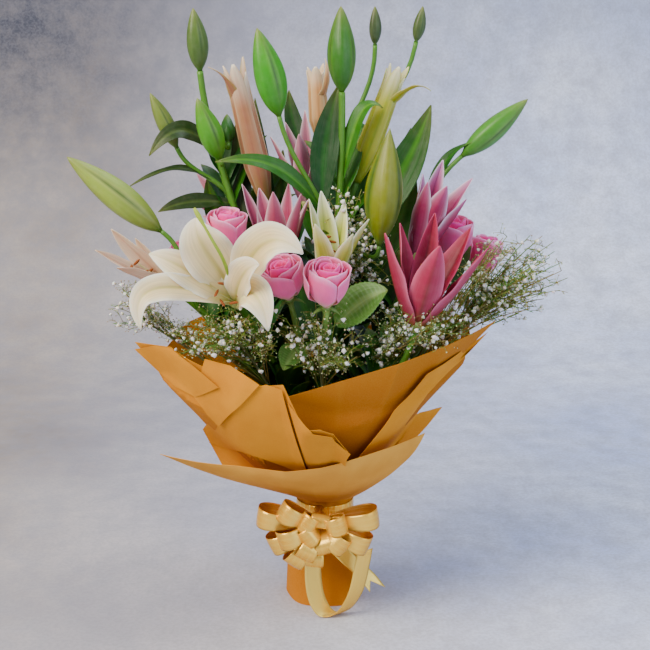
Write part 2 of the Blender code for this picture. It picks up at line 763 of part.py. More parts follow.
# The paper. The inner sheet makes the sleeve round the stems and a bowl above it. Its rim and the
# point that bends each profile have a radius and a height, every 30 degrees from the front round
# by the right.
WAIST_RADIUS = TIE_RADIUS + STRING + GAP + BLADE / 2
WAIST_TOP = TIE_HEIGHT + 9 * MM
BOWL = np.array([
    (84, 206, 54, 140), (92, 220, 54, 146), (114, 240, 56, 160), (140, 266, 60, 170),
    (163, 277, 84, 162), (132, 280, 80, 154), (124, 280, 80, 150), (134, 280, 84, 150),
    (156, 274, 88, 152), (160, 254, 80, 150), (136, 232, 68, 144), (102, 212, 56, 140),
]) * MM


def bowl_at(angle):
    """The bowl's rim and bend at angles round Z, by a smooth closed curve through BOWL."""
    spot = (np.asarray(angle) / tau + 0.25) % 1.0 * len(BOWL)
    low = np.floor(spot).astype(int)
    t = (spot - low)[..., None]
    a, b, c, d = (BOWL[(low + k) % len(BOWL)] for k in (-1, 0, 1, 2))
    curve = 0.5 * (2 * b + (c - a) * t + (2 * a - 5 * b + 4 * c - d) * t**2
                   + (3 * b - a - 3 * c + d) * t**3)
    return np.moveaxis(curve, -1, 0)


def inner_sheet(u, v):
    """Up to u = 0.5 the sleeve, drawn in where the ribbon holds it, and above it the bowl."""
    angle = pi * v
    rim_radius, rim_height, bend_radius, bend_height = bowl_at(angle)
    low, t = np.clip(u * 2, 0, 1), np.clip(u * 2 - 1, 0, 1)
    neck = np.clip(low * 2.5 - 0.75, 0, 1)
    radius = SLEEVE_RADIUS + (WAIST_RADIUS - SLEEVE_RADIUS) * (3 * neck**2 - 2 * neck**3)
    height = WAIST_TOP * low
    radius = (1 - t)**2 * radius + 2 * t * (1 - t) * bend_radius + t**2 * rim_radius
    height = (1 - t)**2 * height + 2 * t * (1 - t) * bend_height + t**2 * rim_height
    return np.stack([radius * np.cos(angle), radius * np.sin(angle), height], -1)


def bowl_radius(angle, height):
    """How far out the inner sheet is at an angle and a height above the waist."""
    rim_radius, rim_height, bend_radius, bend_height = bowl_at(angle)
    a = WAIST_TOP - 2 * bend_height + rim_height
    b = 2 * (bend_height - WAIST_TOP)
    c = WAIST_TOP - height
    t = np.clip((-b + np.sqrt(np.maximum(b * b - 4 * a * c, 0))) / (2 * a), 0, 1)
    return (1 - t)**2 * WAIST_RADIUS + 2 * t * (1 - t) * bend_radius + t**2 * rim_radius


sleeve = sheet(inner_sheet, 8, 16, closed=True)
for vert in sleeve.data.vertices:
    if vert.co.z < 2 * MM:
        vert.co.z = 0
plans["wrap_inner"] = Plan([sleeve], "paper", (0, 0, 0))

# The outer sheets lie on the inner one in layers. Each is given by how far off it lies at the
# waist, in mm, by how many facets it has from crease to crease, and by its crease lines from left
# to right, with a low, a high and a rim point as the front view shows them. Below these the line
# runs in to the waist.
OUTER_SHEETS = {
    "wrap_left": (6.0, 1, [
        ((-100, 134, -16), (-140, 190, -30), (-190, 248, -34)),
        ((-96, 130, -44), (-130, 186, -72), (-154, 243, -74)),
        ((-84, 124, -62), (-118, 176, -88), (-136, 230, -90)),
        ((-62, 118, -78), (-110, 160, -104), (-80, 203, -118)),
        ((-20, 118, -84), (-40, 160, -124), (-42, 205, -128)),
        ((-12, 120, -80), (-24, 142, -120), (-20, 160, -134)),
        ((2, 122, -80), (0, 146, -118), (-5, 160, -134)),
        ((12, 124, -76), (18, 138, -104), (8, 156, -126)),
        ((20, 126, -72), (22, 134, -98), (23, 138, -118)),
    ]),
    "wrap_right": (2.7, 2, [
        ((-26, 124, -48), (-38, 158, -84), (-48, 190, -96)),
        ((2, 124, -50), (14, 158, -86), (16, 209, -102)),
        ((24, 124, -50), (56, 168, -84), (74, 226, -104)),
        ((44, 128, -44), (80, 180, -66), (128, 247, -72)),
        ((56, 132, -30), (92, 196, -42), (171, 269, -26)),
        ((66, 134, -10), (88, 190, -16), (120, 232, -18)),
    ]),
    "wrap_collar": (8.4, 1, [
        ((-88, 106, -34), (-118, 116, -40), (-165, 136, -44)),
        ((-74, 104, -52), (-100, 112, -62), (-128, 128, -66)),
        ((-56, 102, -66), (-76, 108, -78), (-88, 124, -84)),
        ((-40, 100, -74), (-50, 106, -88), (-40, 118, -98)),
        ((-12, 98, -80), (-14, 102, -94), (-4, 122, -102)),
        ((14, 98, -78), (24, 106, -92), (26, 130, -98)),
        ((44, 104, -62), (62, 118, -74), (64, 142, -78)),
        ((62, 110, -44), (92, 134, -50), (100, 157, -50)),
    ]),
    "wrap_corner": (4.5, 1, [
        ((56, 124, -30), (84, 156, -26), (88, 176, -26)),
        ((62, 126, -16), (98, 156, -12), (117, 183, -14)),
        ((60, 128, 2), (92, 152, 6), (98, 162, 2)),
    ]),
}


SLACK = 0.05          # how much further off a sheet lies for each length the bowl has opened


def creased(lines, off):
    """Between crease lines the paper runs straight across. Along each line it follows a cubic
    Bezier curve from the waist, and it keeps at least `off` outside the inner sheet."""
    lines = np.array([[seen(*point) for point in line] for line in lines], float)
    angle = np.arctan2(lines[:, 0, 1], lines[:, 0, 0])
    waist = np.stack([(WAIST_RADIUS + off) * np.cos(angle), (WAIST_RADIUS + off) * np.sin(angle),
                      np.full_like(angle, WAIST_TOP)], -1)
    lines = np.concatenate([waist[:, None], lines], 1)

    def place(u, v):
        spot = (v + 1) / 2 * (len(lines) - 1)
        low = np.minimum((spot + 1e-6).astype(int), len(lines) - 2)
        share = (spot - low)[:, None, None]
        a, b, c, d = np.moveaxis(lines[low] * (1 - share) + lines[low + 1] * share, 1, 0)
        t = u[:, None]
        points = (1 - t)**3 * a + 3 * t * (1 - t)**2 * b + 3 * t**2 * (1 - t) * c + t**3 * d
        angle = np.arctan2(points[:, 1], points[:, 0])
        radius = np.hypot(points[:, 0], points[:, 1])
        least = bowl_radius(angle, np.maximum(points[:, 2], WAIST_TOP))
        least = least + off + (least - WAIST_RADIUS) * SLACK
        grown = np.maximum(radius, least) / radius
        return points * np.stack([grown, grown, np.ones_like(grown)], -1)

    return place


for name, (off, facets, lines) in OUTER_SHEETS.items():
    form = creased(lines, off * MM)
    plans[name] = Plan([sheet(form, 5, facets * (len(lines) - 1))], "paper", (0, 0, WAIST_TOP))


# The ribbon: a strap round the waist, a bow of loops in front, and its tail

RIBBON_WIDTH = 20 * MM
RIBBON = 0.8 * MM
STRAP_RADIUS = WAIST_RADIUS + BLADE / 2 + GAP + RIBBON / 2
STRAP_LOW = TIE_HEIGHT - 16 * MM
STRAP_HIGH = TIE_HEIGHT + 1 * MM
BOW_AXIS = Vector((0, -1, 0))
BOW_CENTRE = Vector((-6 * MM, -57 * MM, 103 * MM))
KNOT_RADIUS = 9.5 * MM
KNOT_BACK = -STRAP_RADIUS - RIBBON / 2 - GAP


def strap(u, v):
    angle = pi * v
    return np.stack([STRAP_RADIUS * np.cos(angle), STRAP_RADIUS * np.sin(angle),
                     STRAP_LOW + (STRAP_HIGH - STRAP_LOW) * u], -1)


plans["ribbon_strap"] = Plan([sheet(strap, 1, 16, RIBBON, closed=True)], "ribbon",
                             (0, 0, STRAP_LOW))

# Each loop: the way it points on a clock face, in degrees from the right and upwards, how far it
# lifts off the paper, and its length in mm.
LOOPS = [(8, 12, 60), (36, 46, 40), (124, 56, 36), (166, 20, 60), (196, 32, 58), (230, 44, 48),
         (272, 28, 46), (318, 46, 42), (338, 14, 52)]
LOOP_ROOT = 6 * MM      # how far from the bow's centre a loop begins, inside the knot


def loop_path(angle, lift, length, steps=5):
    """A teardrop from the knot out and back, in the plane of its way and the bow's axis, with the
    vector of its half width. The ribbon is pinched at the knot."""
    angle, lift = radians(angle), radians(lift)
    flat = Vector((cos(angle), 0, sin(angle)))
    way = flat * cos(lift) + BOW_AXIS * sin(lift)
    rise = BOW_AXIS * cos(lift) - flat * sin(lift)
    across = way.cross(rise) * RIBBON_WIDTH / 2
    points, wides = [], []
    for t in np.linspace(0, 1, steps + 1):
        out = LOOP_ROOT + sin(pi * t)**0.75 * (length * MM - LOOP_ROOT)
        swell = cos(pi * t) * (1.5 * MM + 0.42 * length * MM * sin(pi * t)**0.8)
        points.append(BOW_CENTRE + way * out + rise * swell)
        wides.append(across * (0.22 + 0.78 * sin(pi * t)**0.4))
    return points, wides


def ribbon(points, wides):
    """A flat band that follows the points, with half its width as a vector at each."""
    points, wides = np.array(points, float), np.array(wides, float)

    def place(u, v):
        spot = np.round(u * (len(points) - 1)).astype(int)
        return points[spot] + wides[spot] * v[:, None]

    return sheet(place, len(points) - 1, 1, RIBBON)


KNOT_DEPTH = KNOT_BACK - BOW_CENTRE.y


def knot():
    """The gathered middle of the bow, flat behind where it lies on the strap."""
    shape = bmesh.new()
    bmesh.ops.create_icosphere(shape, subdivisions=1, radius=KNOT_RADIUS)
    for vert in shape.verts:
        vert.co = BOW_CENTRE + Vector((vert.co.x, vert.co.y * 1.2, vert.co.z))
    back = cone(Vector((BOW_CENTRE.x, KNOT_BACK, BOW_CENTRE.z)), BOW_AXIS, 5.5 * MM, 6.5 * MM,
                KNOT_DEPTH)
    return [from_bmesh(shape), back]


bow = knot()
bow += [ribbon(*loop_path(*loop)) for loop in LOOPS]

# One tail drops from the knot to the floor, turns over there and climbs back. The other falls to
# the right behind it. Both in mm.
TAILS = [
    [(-7, -60, 98), (-12, -64, 62), (-10, -64, 28), (-2, -62, 7), (8, -60, 1.2), (20, -62, 8),
     (31, -63, 28), (37, -60, 54), (40, -56, 70)],
    [(-6, -56, 98), (8, -52, 76), (26, -47, 54), (42, -42, 36), (54, -42, 20)],
]
TAIL_WIDE = Vector((0.80, 0.58, 0.0)).normalized() * RIBBON_WIDTH / 2
for tail in TAILS:
    bow.append(ribbon([Vector(point) * MM for point in tail], [TAIL_WIDE] * len(tail)))
plans["ribbon_bow"] = Plan(bow, "ribbon", BOW_CENTRE)


# What fills the bouquet: more leaves, and gypsophila, where there is room

def others(name):
    """All the pieces outside a node, as one tree that answers how near they are."""
    corners, faces = [], []
    for other, plan in plans.items():
        if other == name:
            continue
        for piece in plan.pieces:
            start = len(corners)
            corners += [vert.co for vert in piece.data.vertices]
            faces += [[start + k for k in face.vertices] for face in piece.data.polygons]
    return BVHTree.FromPolygons(corners, faces)


def clear(tree, piece):
    """Whether a loose piece, which is used up by this, crosses nothing of the tree."""
    mesh = piece.data
    own = BVHTree.FromPolygons([vert.co for vert in mesh.vertices],
                               [face.vertices for face in mesh.polygons])
    bpy.data.objects.remove(piece)
    return not tree.overlap(own)


LEAVES_A_STEM = 2
FILLER_SEED = 7
LEAF_ROOM = 4 * MM      # the thickness of air that a filler leaf must find free


def filler_leaves(name, count, draw):
    """Lily leaves at seeded turns of a stem, where they clear everything else."""
    path = stem_paths[name][0]
    tree = others(name)
    made = []
    for _ in range(60):
        if len(made) >= count:
            break
        root, way = along_path(path, draw.uniform(0.12, 0.80))
        turn = draw.uniform(0, tau)
        outward = Vector((cos(turn), sin(turn), 0))
        length = draw.uniform(60, 92) * MM
        rise = draw.uniform(0.5, 1.1)
        tip = root + (outward + UP * rise).normalized() * length
        spine = (root, root + (way + outward * 0.5) * length * 0.3,
                 root.lerp(tip, 0.7) + UP * length * 0.12, tip)
        form = blade_form(spine, draw.uniform(7, 9.5) * MM, tuple(UP - outward * 0.4), peak=0.5,
                          root=0.3, cup=0.2)
        if clear(tree, sheet(form, 3, 1, LEAF_ROOM)):
            made.append(sheet(form, 3, 1))
    return made


draw = Random(FILLER_SEED)
for stem in LILY_STEMS:
    count = max(0, LEAVES_A_STEM - len(stem.leaves))
    plans[stem.name].pieces.extend(filler_leaves(stem.name, count, draw))


FLORET = 3.3 * MM
TWIG = 0.65 * MM
TWIG_ROOM = 0.6 * MM


def twig(start, end, room=0.0):
    """A three-sided twig with its root sunk in what it grows from and a floret at its end. It is
    thicker all round by the room it is given."""
    thick, floret = TWIG + room, FLORET + room
    tip = end + (end - start).normalized() * floret
    length = (tip - start).length
    widths = (thick, thick, floret)
    heights = (0.0, 1 - 2.1 * floret / length, 1 - floret / length)
    shape = bmesh.new()
    bmesh.ops.create_uvsphere(shape, u_segments=3, v_segments=4, radius=1)
    for vert in shape.verts:
        ring = round((1 - vert.co.z / 0.7072) if abs(vert.co.z) < 0.9 else -1)
        if ring < 0:
            vert.co = UP * (length if vert.co.z > 0 else -thick)
            continue
        flat = Vector((vert.co.x, vert.co.y, 0)).normalized()
        vert.co = flat * widths[2 - ring] + UP * heights[2 - ring] * length
    shape.transform(Matrix.Translation(start) @ turned_to(tip - start))
    return from_bmesh(shape)


def in_cloud(centre, reach, draw, low, high):
    """A point in a spray's round cloud, between two shares of its reach."""
    turn, lift = draw.uniform(0, tau), draw.uniform(-0.8, 1)
    flat = sqrt(1 - lift**2)
    share = draw.uniform(low, high)
    return centre + Vector((cos(turn) * flat * reach.x, sin(turn) * flat * reach.y,
                            lift * reach.z)) * share


SPRAY_TRIALS = 120
SPRAY_SEED = 10


def spray_path(name, centre, reach, tree, draw):
    """A stem that leans out to the inner side of its cloud and passes clear of everything."""
    outward = Vector((centre.x, centre.y, 0)).normalized()
    inset = Vector((outward.x * reach.x, outward.y * reach.y, reach.z)) * 0.55
    for trial in range(SPRAY_TRIALS):
        shift = Vector(draw.uniform(-0.2, 0.2) * trial * MM for _ in range(3))
        swing = Vector((draw.uniform(-0.2, 0.2), draw.uniform(-0.2, 0.2), 0)) * trial * MM
        crown = centre - inset + shift
        way = crown - SLOT[name] - UP * TIE_HEIGHT
        axis = Vector((way.x, way.y, way.z * 0.6)).normalized()
        path = stem_path(name, crown, axis, neck_share=draw.uniform(0.05, 0.25), swing=swing)
        if clear(tree, tube(path, tapered(path, SPRAY_STEM, 0.7), sides=4)):
            return path
    raise ValueError(name + " finds no way through")


def spray(spec, seed):
    """A stem whose crown forks into branches, each with a floret at its end and on side twigs. What
    would come too near another piece is left out."""
    draw = Random(seed)
    tree = others(spec.name)
    centre = seen(*spec.centre)
    reach = Vector((spec.reach[0], spec.reach[2], spec.reach[1])) * MM
    path = spray_path(spec.name, centre, reach, tree, draw)
    crown = path[-1]
    pieces = [tube(path, tapered(path, SPRAY_STEM, 0.7), sides=4)]
    taken = [crown]
    branches = 0
    for _ in range(spec.branches * 30):
        if branches >= spec.branches:
            break
        fork, _ = along_path(path, 1 - 0.22 * branches / spec.branches)
        end = in_cloud(centre, reach, draw, 0.75, 1.0)
        free = all((end - spot).length > 11 * MM for spot in taken)
        if not free or not clear(tree, twig(fork, end, TWIG_ROOM)):
            continue
        pieces.append(twig(fork, end))
        taken.append(end)
        branches += 1
        for share in (0.5, 0.76):
            root = fork.lerp(end, share)
            for _ in range(8):
                tip = in_cloud(root, Vector((15, 15, 15)) * MM, draw, 0.7, 1.0)
                free = all((tip - spot).length > 8 * MM for spot in taken)
                if free and clear(tree, twig(root, tip, TWIG_ROOM)):
                    pieces.append(twig(root, tip))
                    taken.append(tip)
                    break
    plans[spec.name] = Plan(pieces, "gypsophila", foot(spec.name))


for seed, spec in enumerate(SPRAYS):
    spray(spec, SPRAY_SEED + seed)

for name, plan in plans.items():
    node(name, *plan)
bpy.data.collections.remove(bench)
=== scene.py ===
from collections import namedtuple
from math import cos, log, pi, radians, sin, tau

import bpy
import numpy as np
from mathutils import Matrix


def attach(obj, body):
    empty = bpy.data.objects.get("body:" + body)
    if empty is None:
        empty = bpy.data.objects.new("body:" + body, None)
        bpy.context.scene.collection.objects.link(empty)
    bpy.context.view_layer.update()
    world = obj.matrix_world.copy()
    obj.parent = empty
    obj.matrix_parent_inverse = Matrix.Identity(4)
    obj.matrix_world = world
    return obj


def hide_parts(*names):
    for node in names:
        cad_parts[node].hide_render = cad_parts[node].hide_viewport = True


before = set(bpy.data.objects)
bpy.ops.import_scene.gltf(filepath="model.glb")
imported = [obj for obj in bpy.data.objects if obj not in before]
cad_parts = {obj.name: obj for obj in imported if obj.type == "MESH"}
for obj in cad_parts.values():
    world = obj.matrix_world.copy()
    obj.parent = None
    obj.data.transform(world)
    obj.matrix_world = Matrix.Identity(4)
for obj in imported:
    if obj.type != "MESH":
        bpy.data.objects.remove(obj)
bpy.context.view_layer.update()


# ------------------------------------------------------------------------------------ the room
# A photographer's corner: a grey-lilac mottled plaster board that lies on the table and bends up
# behind the bouquet without a seam. Sponged lime paint makes the clouds, a roller the fine grain.

def linear(code):
    """An sRGB hex colour as linear red, green and blue."""
    value = np.array([int(code[i:i + 2], 16) for i in (1, 3, 5)]) / 255
    return np.where(value <= 0.04045, value / 12.92, ((value + 0.055) / 1.055)**2.4)


def feed(node, inputs):
    """Gives a node's inputs, by name or in order, what is listed: a socket, or a node's first live
    output, is linked, and a hex colour or any other constant is set."""
    if not isinstance(inputs, dict):
        inputs = dict(enumerate(inputs))
    for name, value in inputs.items():
        if isinstance(value, bpy.types.Node):
            value = next(socket for socket in value.outputs if socket.enabled)
        if isinstance(value, bpy.types.NodeSocket):
            node.id_data.links.new(value, node.inputs[name])
        else:
            constant = (*linear(value), 1) if isinstance(value, str) else value
            node.inputs[name].default_value = constant


def add(tree, kind, inputs=(), **settings):
    """A shader node with its settings and with what its inputs are given."""
    made = tree.nodes.new("ShaderNode" + kind)
    for name, value in settings.items():
        setattr(made, name, value)
    feed(made, inputs)
    return made


def material(name, **constants):
    """A named Principled BSDF, with its constant values, and its node tree."""
    made = bpy.data.materials.new(name)
    made.use_nodes = True
    shader = made.node_tree.nodes["Principled BSDF"]
    feed(shader, {socket.replace("_", " ").title().replace("Ior", "IOR"): value
                  for socket, value in constants.items()})
    return made, made.node_tree, shader


plaster, tree, shader = material("mottled plaster board", roughness=0.86)
where = add(tree, "TexCoord").outputs["Object"]
clouds, sponge, grain = (
    add(tree, "TexNoise", {"Vector": where, "Scale": scale, "Detail": detail, "Roughness": rough})
    for scale, detail, rough in ((3.1, 5, 0.62), (26, 6, 0.7), (240, 3, 0.6)))
side, deep, high = add(tree, "SeparateXYZ", [where]).outputs
# Painted light: the clouds are warmer and darker on the left, cooler and brighter on the right.
rightward = add(tree, "MapRange", (side, -0.42, 0.34))
dark = add(tree, "Mix", {0: rightward, 6: "#847C78", 7: "#B2C4F0"}, data_type="RGBA")
light = add(tree, "Mix", {0: rightward, 6: "#B2AAA6", 7: "#DEE9FF"}, data_type="RGBA")
cloudy = add(tree, "MapRange", (clouds, 0.34, 0.66))
paint = add(tree, "Mix", {0: cloudy, 6: dark, 7: light}, data_type="RGBA")
# Painted light and shade: the paint is darker high up, darkest in the top left corner, and
# palest on the floor nearest the camera.
corner = add(tree, "Math", (add(tree, "MapRange", (side, -0.08, -0.52)),
                            add(tree, "MapRange", (high, 0.10, 0.46))), operation="MULTIPLY")
painted_corner_shade = add(tree, "Math", (corner, add(tree, "MapRange", (sponge, 0.36, 0.62, 0.62, 1))),
           operation="MULTIPLY")
for share, colour in ((add(tree, "MapRange", (sponge, 0.40, 0.62, 0, 0.38)), "#8D92A2"),
                      (painted_corner_shade, "#1E1F29"),
                      (add(tree, "MapRange", (high, 0.20, 0.58, 0, 0.42)), "#6C7388"),
                      (add(tree, "MapRange", (deep, 0.05, -0.35, 0, 0.30)), "#EFEDF0"),
                      (add(tree, "MapRange", (grain, 0.42, 0.60, 0, 0.22)), "#83848F")):
    paint = add(tree, "Mix", {0: share, 6: paint, 7: colour}, data_type="RGBA")
relief = add(tree, "Bump", {"Height": grain, "Strength": 0.12, "Distance": 0.001})
feed(shader, {"Base Color": paint, "Normal": relief})
# Its back lets the view through, so that the bouquet can be looked at from behind too.
behind = add(tree, "NewGeometry").outputs["Backfacing"]
shown = add(tree, "MixShader", (behind, shader, add(tree, "BsdfTransparent")))
feed(tree.nodes["Material Output"], {"Surface": shown})


def placed(name, data):
    """An object of a mesh, lamp or camera, in the scene."""
    made = bpy.data.objects.new(name, data)
    bpy.context.scene.collection.objects.link(made)
    return made


# The board's profile is a floor line, a quarter circle and a wall line, drawn out sideways.
BOARD_HALF, BOARD_FRONT, BEND_START, BEND_RADIUS, BOARD_TOP = 3.2, -3.0, 0.75, 0.6, 3.2
bend = np.linspace(0, pi / 2, 25)
profile = [(BOARD_FRONT, 0.0)]
profile += [(BEND_START + BEND_RADIUS * sin(a), BEND_RADIUS * (1 - cos(a))) for a in bend]
profile += [(BEND_START + BEND_RADIUS, BOARD_TOP)]
corners = [(x, y, z) for y, z in profile for x in (-BOARD_HALF, BOARD_HALF)]
strips = [(2 * i, 2 * i + 1, 2 * i + 3, 2 * i + 2) for i in range(len(profile) - 1)]
board_mesh = bpy.data.meshes.new("plaster_board")
board_mesh.from_pydata(corners, [], strips)
board_mesh.shade_smooth()
board_mesh.materials.append(plaster)
placed("plaster_board", board_mesh)

# The camera stands 1.6 m from the middle of the bouquet and looks down on it by 16 degrees.
VIEW_TILT, VIEW_DISTANCE, VIEW_HEIGHT, LENS = radians(16), 1.6, 0.2894, 88.6
VIEW_MIDDLE = 265       # how far above the foot the middle of the picture is seen, in mm
camera = placed("camera", bpy.data.cameras.new("camera"))
camera.data.lens = LENS
camera.location = (0, -VIEW_DISTANCE * cos(VIEW_TILT), VIEW_HEIGHT + VIEW_DISTANCE * sin(VIEW_TILT))
camera.rotation_euler = (pi / 2 - VIEW_TILT, 0, 0)
bpy.context.scene.camera = camera

# A large soft window light from the upper left, a weak one from the right and a bright room.
LIGHT_AIM = (0, 0, 0.28)
LIGHTS = [("window", (-1.6, -1.15, 2.0), 1.7, 112, "#FFF2E0"),
          ("fill", (1.9, -1.3, 1.0), 1.8, 23, "#DDE8FF"),
          ("sky", (0.7, 0.5, 2.4), 1.6, 32, "#EEF2FF")]
for name, spot, size, power, colour in LIGHTS:
    lamp = bpy.data.lights.new(name, "AREA")
    lamp.size = size
    lamp.energy = power
    lamp.color = linear(colour)
    light = placed(name, lamp)
    light.location = spot
    aim = np.subtract(LIGHT_AIM, spot)
    light.rotation_euler = (np.arctan2(np.hypot(aim[0], aim[1]), -aim[2]), 0,
                            np.arctan2(-aim[0], aim[1]))
world = bpy.data.worlds.new("room")
world.use_nodes = True
feed(world.node_tree.nodes["Background"], {"Color": "#E9EBF4", "Strength": 0.56})
bpy.context.scene.world = world


# ------------------------------------------------------------- lily stems with buds and leaves
# Cut green lily stems, as thick as a finger where they stand, with branches that carry tight
# ribbed buds and with long glossy leaves. Alive and waxy; cut flat below so that they stand.

MM = 0.001
UP = np.array([0.0, 0.0, 1.0])


def seen(points):
    """The places of points given by how far right of the foot and above it the picture shows them
    and how far behind it they lie, in mm: where the camera's ray meets the upright plane there."""
    across, up, behind = np.moveaxis(np.asarray(points, float), -1, 0)
    slope = (up - VIEW_MIDDLE) * MM / VIEW_DISTANCE
    depth = behind * MM
    height = slope * VIEW_DISTANCE + depth * (slope * cos(VIEW_TILT) - sin(VIEW_TILT))
    height /= cos(VIEW_TILT) + slope * sin(VIEW_TILT)
    distance = VIEW_DISTANCE + depth * cos(VIEW_TILT) - height * sin(VIEW_TILT)
    return np.stack([across * MM * distance / VIEW_DISTANCE, depth, height + VIEW_HEIGHT], -1)


def unit(vectors):
    """Each vector over its own length."""
    return vectors / np.maximum(np.linalg.norm(vectors, axis=-1, keepdims=True), 1e-9)


def bezier(points, t):
    """A cubic Bezier curve through numpy points and its direction, at shares t of its way."""
    a, b, c, d = points
    t = np.asarray(t, float)[:, None]
    s = 1 - t
    place = s**3 * a + 3 * s**2 * t * b + 3 * s * t**2 * c + t**3 * d
    return place, unit(s**2 * (b - a) + 2 * s * t * (c - b) + t**2 * (d - c))


def arc(a, b, c, t):
    """The quadratic curve from a by b to c, at shares t of its way."""
    return (1 - t)**2 * a + 2 * t * (1 - t) * b + t**2 * c


def eased(a, b, c, d, t):
    """Catmull-Rom's cubic from b to c: its slopes there are half the steps from a to c and from b
    to d."""
    return 0.5 * (2 * b + (c - a) * t + (2 * a - 5 * b + 4 * c - d) * t**2
                  + (3 * b - a - 3 * c + d) * t**3)


def smooth(points, count):
    """A line through points, eased from each to the next."""
    points = np.asarray(points, float)
    points = np.concatenate([2 * points[:1] - points[1:2], points, 2 * points[-1:] - points[-2:-1]])
    spot = np.linspace(0, len(points) - 3.0001, count)
    low = spot.astype(int)
    return eased(*(points[low + k] for k in range(4)), (spot - low)[:, None])


def polar(radius, angle, height):
    """Points at a radius and an angle round Z and at a height."""
    return np.stack(np.broadcast_arrays(radius * np.cos(angle), radius * np.sin(angle), height), -1)


def grid(rows, columns, closed=False):
    """A surface's two shares: u from 0 to 1 over its rows and v from -1 to 1 over its columns."""
    return np.meshgrid(np.linspace(0, 1, rows), np.linspace(-1, 1, columns, endpoint=not closed),
                       indexing="ij")


def crowded(columns):
    """Shares from -1 to 1 as sines of even turns, so that they lie closest at both edges."""
    return np.sin(np.linspace(-pi / 2, pi / 2, columns))


def normals(points, wrap=False):
    """A grid's unit normals, from its steps across and along. A wrapped grid is closed across."""
    across = np.gradient(points, axis=1)
    if wrap:
        across = np.roll(points, -1, 1) - np.roll(points, 1, 1)
    return unit(np.cross(across, np.gradient(points, axis=0)))


def blend(share, places, colours):
    """The colours at each share: linear between hex colours that stand at the places."""
    stops = np.array([linear(colour) for colour in colours])
    return np.stack([np.interp(share, places, stops[:, k]) for k in range(3)], -1)


def toward(colours, code, share):
    """Colours moved to a hex colour by a share that varies over them."""
    return colours + (linear(code) - colours) * np.clip(share, 0, 1)[..., None]


# A piece of a mesh: its points, four-sided faces, `form` and `tint`, which number of the object's
# materials it has, and its triangles.
Part = namedtuple("Part", "points quads form tint finish fans",
                  defaults=[0, np.zeros((0, 3), int)])


def quads(index):
    """The four-sided faces between neighbours of a grid of point numbers."""
    corners = (index[:-1, :-1], index[:-1, 1:], index[1:, 1:], index[1:, :-1])
    return np.stack(corners, -1).reshape(-1, 4)


def loft(rings, tint, finish=0):
    """A closed skin over rings of points. Each end is closed to the middle of its ring."""
    rows, columns = rings.shape[:2]
    count = rows * columns
    index = np.arange(count).reshape(rows, columns)
    index = np.concatenate([index, index[:, :1]], 1)
    ends = np.stack([rings[0].mean(0), rings[-1].mean(0)])
    middle = np.full(columns, count)
    fans = np.concatenate([np.stack([middle, index[0, 1:], index[0, :-1]], -1),
                           np.stack([middle + 1, index[-1, :-1], index[-1, 1:]], -1)])
    u, v = grid(rows, columns, closed=True)
    form = np.stack([u, v, np.ones_like(u)], -1).reshape(-1, 3)
    form = np.concatenate([form, [(0, 0, 1), (1, 0, 1)]])
    tint = np.broadcast_to(tint, rings.shape).reshape(-1, 3)
    tint = np.concatenate([tint, tint[:1], tint[-1:]])
    points = np.concatenate([rings.reshape(-1, 3), ends])
    return Part(points, quads(index), form, tint, finish, fans)


def slab(points, thickness, tint, under=None, wrap=False, finish=0):
    """A thin solid on a grid of points: its upper side lies half the thickness along the grid's
    normal, its under side as far the other way, and a strip of quads joins their rims. A wrapped
    slab is closed from its last column to its first."""
    rows, columns = points.shape[:2]
    lift = normals(points, wrap) * thickness / 2
    count = rows * columns
    index = np.arange(count).reshape(rows, columns)
    if wrap:
        index = np.concatenate([index, index[:, :1]], 1)
        rims = [index[0], index[-1, ::-1]]
    else:
        rims = [np.concatenate([index[0, :-1], index[:-1, -1], index[-1, :0:-1],
                                index[:0:-1, 0], index[0, :1]])]
    faces = [quads(index), quads(index)[:, ::-1] + count]
    for rim in rims:
        a, b = rim[:-1], rim[1:]
        faces.append(np.stack([b, a, a + count, b + count], -1))
    u, v = grid(rows, columns)
    form = np.concatenate([np.stack([u, v, np.full_like(u, side)], -1).reshape(-1, 3)
                           for side in (1.0, 0.0)])
    tint = np.broadcast_to(tint, points.shape).reshape(-1, 3)
    under = tint if under is None else np.broadcast_to(under, points.shape).reshape(-1, 3)
    solid = np.concatenate([(points + lift).reshape(-1, 3), (points - lift).reshape(-1, 3)])
    return Part(solid, np.concatenate(faces), form, np.concatenate([tint, under]), finish)


def tube(points, radii, tint, sides=12, lobes=1.0, finish=0):
    """Rings across a path: even turns in the plane across its way, each with its radius times the
    lobes given for it."""
    points = np.asarray(points, float)
    way = unit(np.gradient(points, axis=0))
    flat = np.eye(3)[np.abs(way.mean(0)).argmin()]
    side = unit(np.cross(flat, way))
    up = np.cross(way, side)
    turn = np.linspace(0, tau, sides, endpoint=False)
    reach = np.broadcast_to(radii, len(points))[:, None] * np.broadcast_to(
        lobes, (len(points), sides))
    rings = (points[:, None] + side[:, None] * (reach * np.cos(turn))[..., None]
             + up[:, None] * (reach * np.sin(turn))[..., None])
    rings[..., 2] = np.maximum(rings[..., 2], 0)        # a stem's foot is cut flat on the floor
    tint = np.asarray(tint)
    tint = tint[:, None] if tint.ndim == 2 else tint
    return loft(rings, tint, finish)


